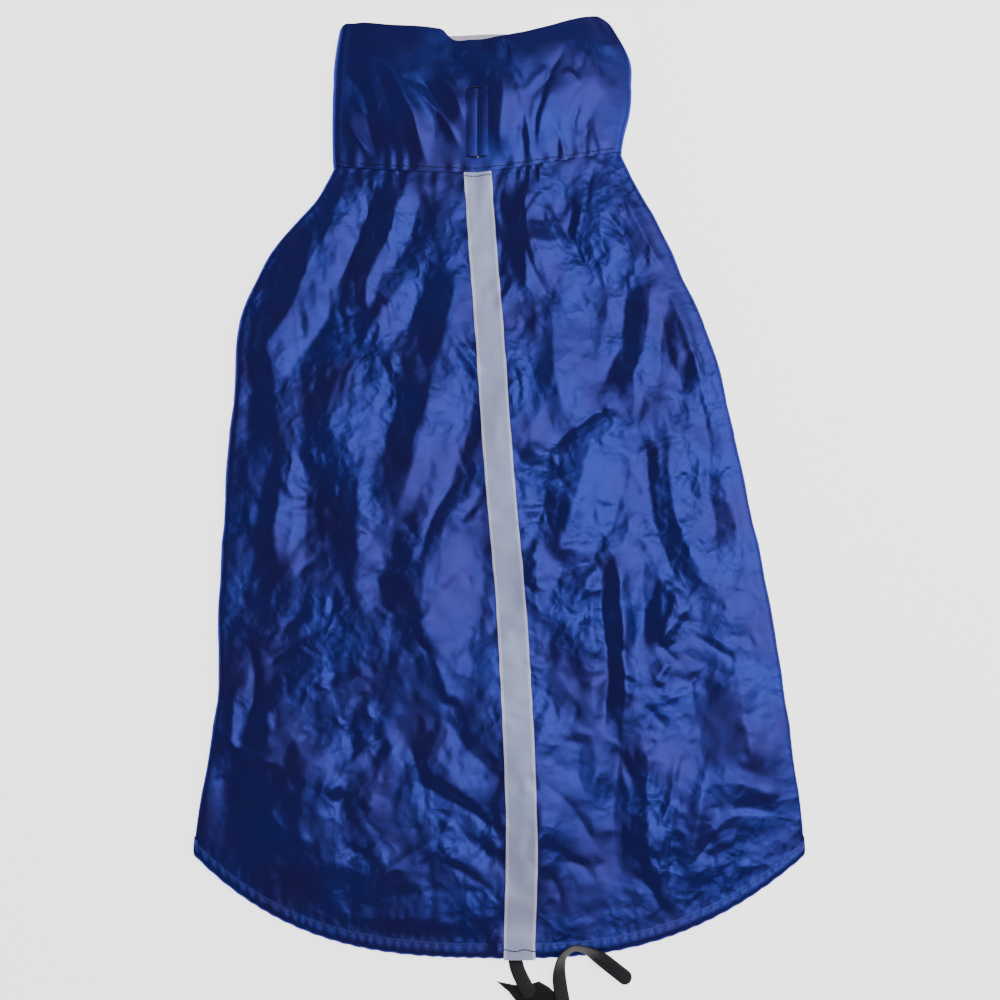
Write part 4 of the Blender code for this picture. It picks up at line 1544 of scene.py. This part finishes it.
class RAINCOAT_OT_collar(bpy.types.Operator):
    """Adds the collar's two halves, its lining, the slit's welts and the seam stitches"""

    bl_idname = "raincoat.collar"
    bl_label = "Collar"

    def execute(self, context):
        settings = context.scene.raincoat
        nylon = look("nylon", settings)
        halves = {}
        for side, name in ((-1, "left"), (1, "right")):
            grid = collar_grid(side, settings)
            halves[side] = grid
            made = thicken(grid_object("nylon_collar_" + name, grid, nylon), CLOTH * 0.5)
            point_values(made, "crinkled", COLLAR_CRINKLED)
            finish_piece(made, "nylon_shell", "collar_" + name)
        self.lining(halves, settings)
        stitches = self.seam_stitches(halves, settings)
        for side, name in ((-1, "left"), (1, "right")):
            welt = self.welt(side, halves[side], nylon)
        return {"FINISHED"}

    def lining(self, halves, settings):
        """A band inside the neck, from LINING_FROM up to the top edge."""
        first = int(LINING_FROM * (COLLAR_ROWS - 1))
        left, right = halves[-1][first:, ::3], halves[1][first:, ::3]
        throat, nape = ((left[:, k] + right[:, k])[:, None] / 2 for k in (0, -1))
        loop = np.concatenate([throat, left[:, 1:-1], nape, right[:, -2:0:-1]], axis=1)
        round_it = np.roll(loop, -1, axis=1) - np.roll(loop, 1, axis=1)
        inwards = np.cross(np.gradient(loop, axis=0), round_it)
        inwards /= np.linalg.norm(inwards, axis=2, keepdims=True)
        loop = loop + inwards * 1.3 * MM
        loop[..., 2] = np.maximum(loop[..., 2], 1.9 * MM)
        made = grid_object("pale_lining_band", loop, look("lining", settings), close=True)
        thicken(made, 0.6 * MM)
        finish_piece(made, "pale_lining", "collar_lining")

    def welt(self, side, grid, nylon):
        """A narrow folded strip along one side of the slit."""
        ups = np.linspace(0, 1, COLLAR_ROWS)
        rows = np.where((ups >= SLIT_LENGTH[0]) & (ups <= SLIT_LENGTH[1]))[0]
        offsets = np.linspace(SLIT_HALF_WIDTH * 0.25, WELT_WIDTH, 9) * side
        strip = []
        for k in rows:
            row = grid[k, -12:]
            order = np.argsort(row[:, 0])
            y = np.interp(offsets, row[order, 0], row[order, 1])
            z = np.interp(offsets, row[order, 0], row[order, 2])
            strip.append(np.stack([offsets, y, z], axis=1))
        strip = moved_out(np.array(strip), 0.9 * MM)
        strip[..., 2] += 0.25 * np.abs(crumple(strip[..., 0], strip[..., 1], 19))
        strip[..., 2] += 0.35 * MM * np.sin(np.linspace(0, math.pi, strip.shape[1]))
        name = "left" if side < 0 else "right"
        made = thicken(grid_object("nylon_slit_welt_" + name, strip, nylon), 0.7 * MM)
        return finish_piece(made, "nylon_shell", "slit_welt_" + name)

    def seam_stitches(self, halves, settings):
        """A row of topstitches on the collar, just above its seam, and tacks at the slit."""
        runs = []
        for grid in halves.values():
            top = UNDER_STEPS + BELLY_STEPS + ROLL_STEPS
            line = grid[3][top:].copy()
            line[:, 2] += 0.45 * MM
            runs.append((line[::2], 2.6 * MM, 0.9 * MM))
        for share in SLIT_LENGTH:
            row = int(share * (COLLAR_ROWS - 1))
            left, right = halves[-1][row, -6], halves[1][row, -6]
            line = np.linspace(left, right, 9) + np.array([0, 0, 1.9 * MM])
            runs.append((line, 1.2 * MM, 0.15 * MM))
        return stitches_object("collar_stitches", runs, look("navy_thread", settings), "nylon_shell")


class RAINCOAT_OT_stage(bpy.types.Operator):
    """Adds the pale floor and the soft studio lights"""

    bl_idname = "raincoat.stage"
    bl_label = "Floor and lights"

    def execute(self, context):
        built = bmesh.new()
        bmesh.ops.create_grid(built, x_segments=1, y_segments=1, size=4)
        mesh = bpy.data.meshes.new("floor")
        built.to_mesh(mesh)
        built.free()
        floor = bpy.data.objects.new("floor", mesh)
        floor.location.z = -0.3 * MM
        context.scene.collection.objects.link(floor)
        # Painted board, matt and evenly lit, which throws a soft light up under the cloth's edges.
        made, _, shader = new_material("board_painted_matt")
        shader.inputs["Base Color"].default_value = linear("#F4F4F4")
        shader.inputs["Roughness"].default_value = 0.9
        shader.inputs["Emission Color"].default_value = grey(1.0)
        shader.inputs["Emission Strength"].default_value = 2.2
        mesh.materials.append(made)
        self.light("key", (0.95, 0.35, 1.15), (0, 0, 0), (1.2, 1.5), 2.45)
        self.light("overhead", (0.30, 0.40, 1.45), (0.30, 0.40, 0), (0.9, 2.0), 1.35)
        self.studio_walls(context.scene)
        return {"FINISHED"}

    def studio_walls(self, scene):
        """A world that is pale at the height of the walls, with a dim rosy ceiling."""
        world = bpy.data.worlds.new("studio")
        world.use_nodes = True
        tree = world.node_tree
        where = node(tree, "ShaderNodeTexCoord").outputs["Generated"]
        height = node(tree, "ShaderNodeSeparateXYZ", [("Vector", where)]).outputs["Z"]
        tone = node(
            tree,
            "ShaderNodeValToRGB",
            [("Fac", height)],
            stops=[(0.0, grey(0.8)), (0.10, grey(0.75)), (0.36, (0.27, 0.17, 0.22, 1))],
        )
        tree.links.new(tone.outputs["Color"], tree.nodes["Background"].inputs["Color"])
        scene.world = world

    def light(self, name, place, aim, size, radiance):
        """A softbox of some width, height and radiance, aimed at a point."""
        data = bpy.data.lights.new(name, "AREA")
        data.shape = "RECTANGLE"
        data.size, data.size_y = size
        data.energy = radiance * math.pi * size[0] * size[1]
        lamp = bpy.data.objects.new(name, data)
        lamp.location = place
        way = Vector(place) - Vector(aim)
        lamp.rotation_euler = way.to_track_quat("Z", "Y").to_euler()
        bpy.context.scene.collection.objects.link(lamp)


class RAINCOAT_PT_panel(bpy.types.Panel):
    """The raincoat's sizes, colours and pieces"""

    bl_idname = "RAINCOAT_PT_panel"
    bl_label = "Raincoat"
    bl_space_type = "VIEW_3D"
    bl_region_type = "UI"
    bl_category = "Raincoat"

    def draw(self, context):
        for name in RaincoatSettings.__annotations__:
            self.layout.prop(context.scene.raincoat, name)
        for step in STEPS:
            self.layout.operator(step.bl_idname)


STEPS = (
    RAINCOAT_OT_camera,
    RAINCOAT_OT_strap,
    RAINCOAT_OT_back,
    RAINCOAT_OT_underside,
    RAINCOAT_OT_collar,
    RAINCOAT_OT_stage,
)
CLASSES = (RaincoatSettings, *STEPS, RAINCOAT_PT_panel)


def register():
    """Adds the raincoat's settings, operators and panel to Blender."""
    for made in CLASSES:
        bpy.utils.register_class(made)
    bpy.types.Scene.raincoat = PointerProperty(type=RaincoatSettings)


def unregister():
    """Takes them away again."""
    del bpy.types.Scene.raincoat
    for made in reversed(CLASSES):
        bpy.utils.unregister_class(made)


def main():
    """Makes the whole raincoat and its stage."""
    register()
    bpy.ops.raincoat.camera()
    bpy.ops.raincoat.strap()
    bpy.ops.raincoat.back()
    bpy.ops.raincoat.underside()
    bpy.ops.raincoat.collar()
    bpy.ops.raincoat.stage()


if __name__ == "__main__":
    main()
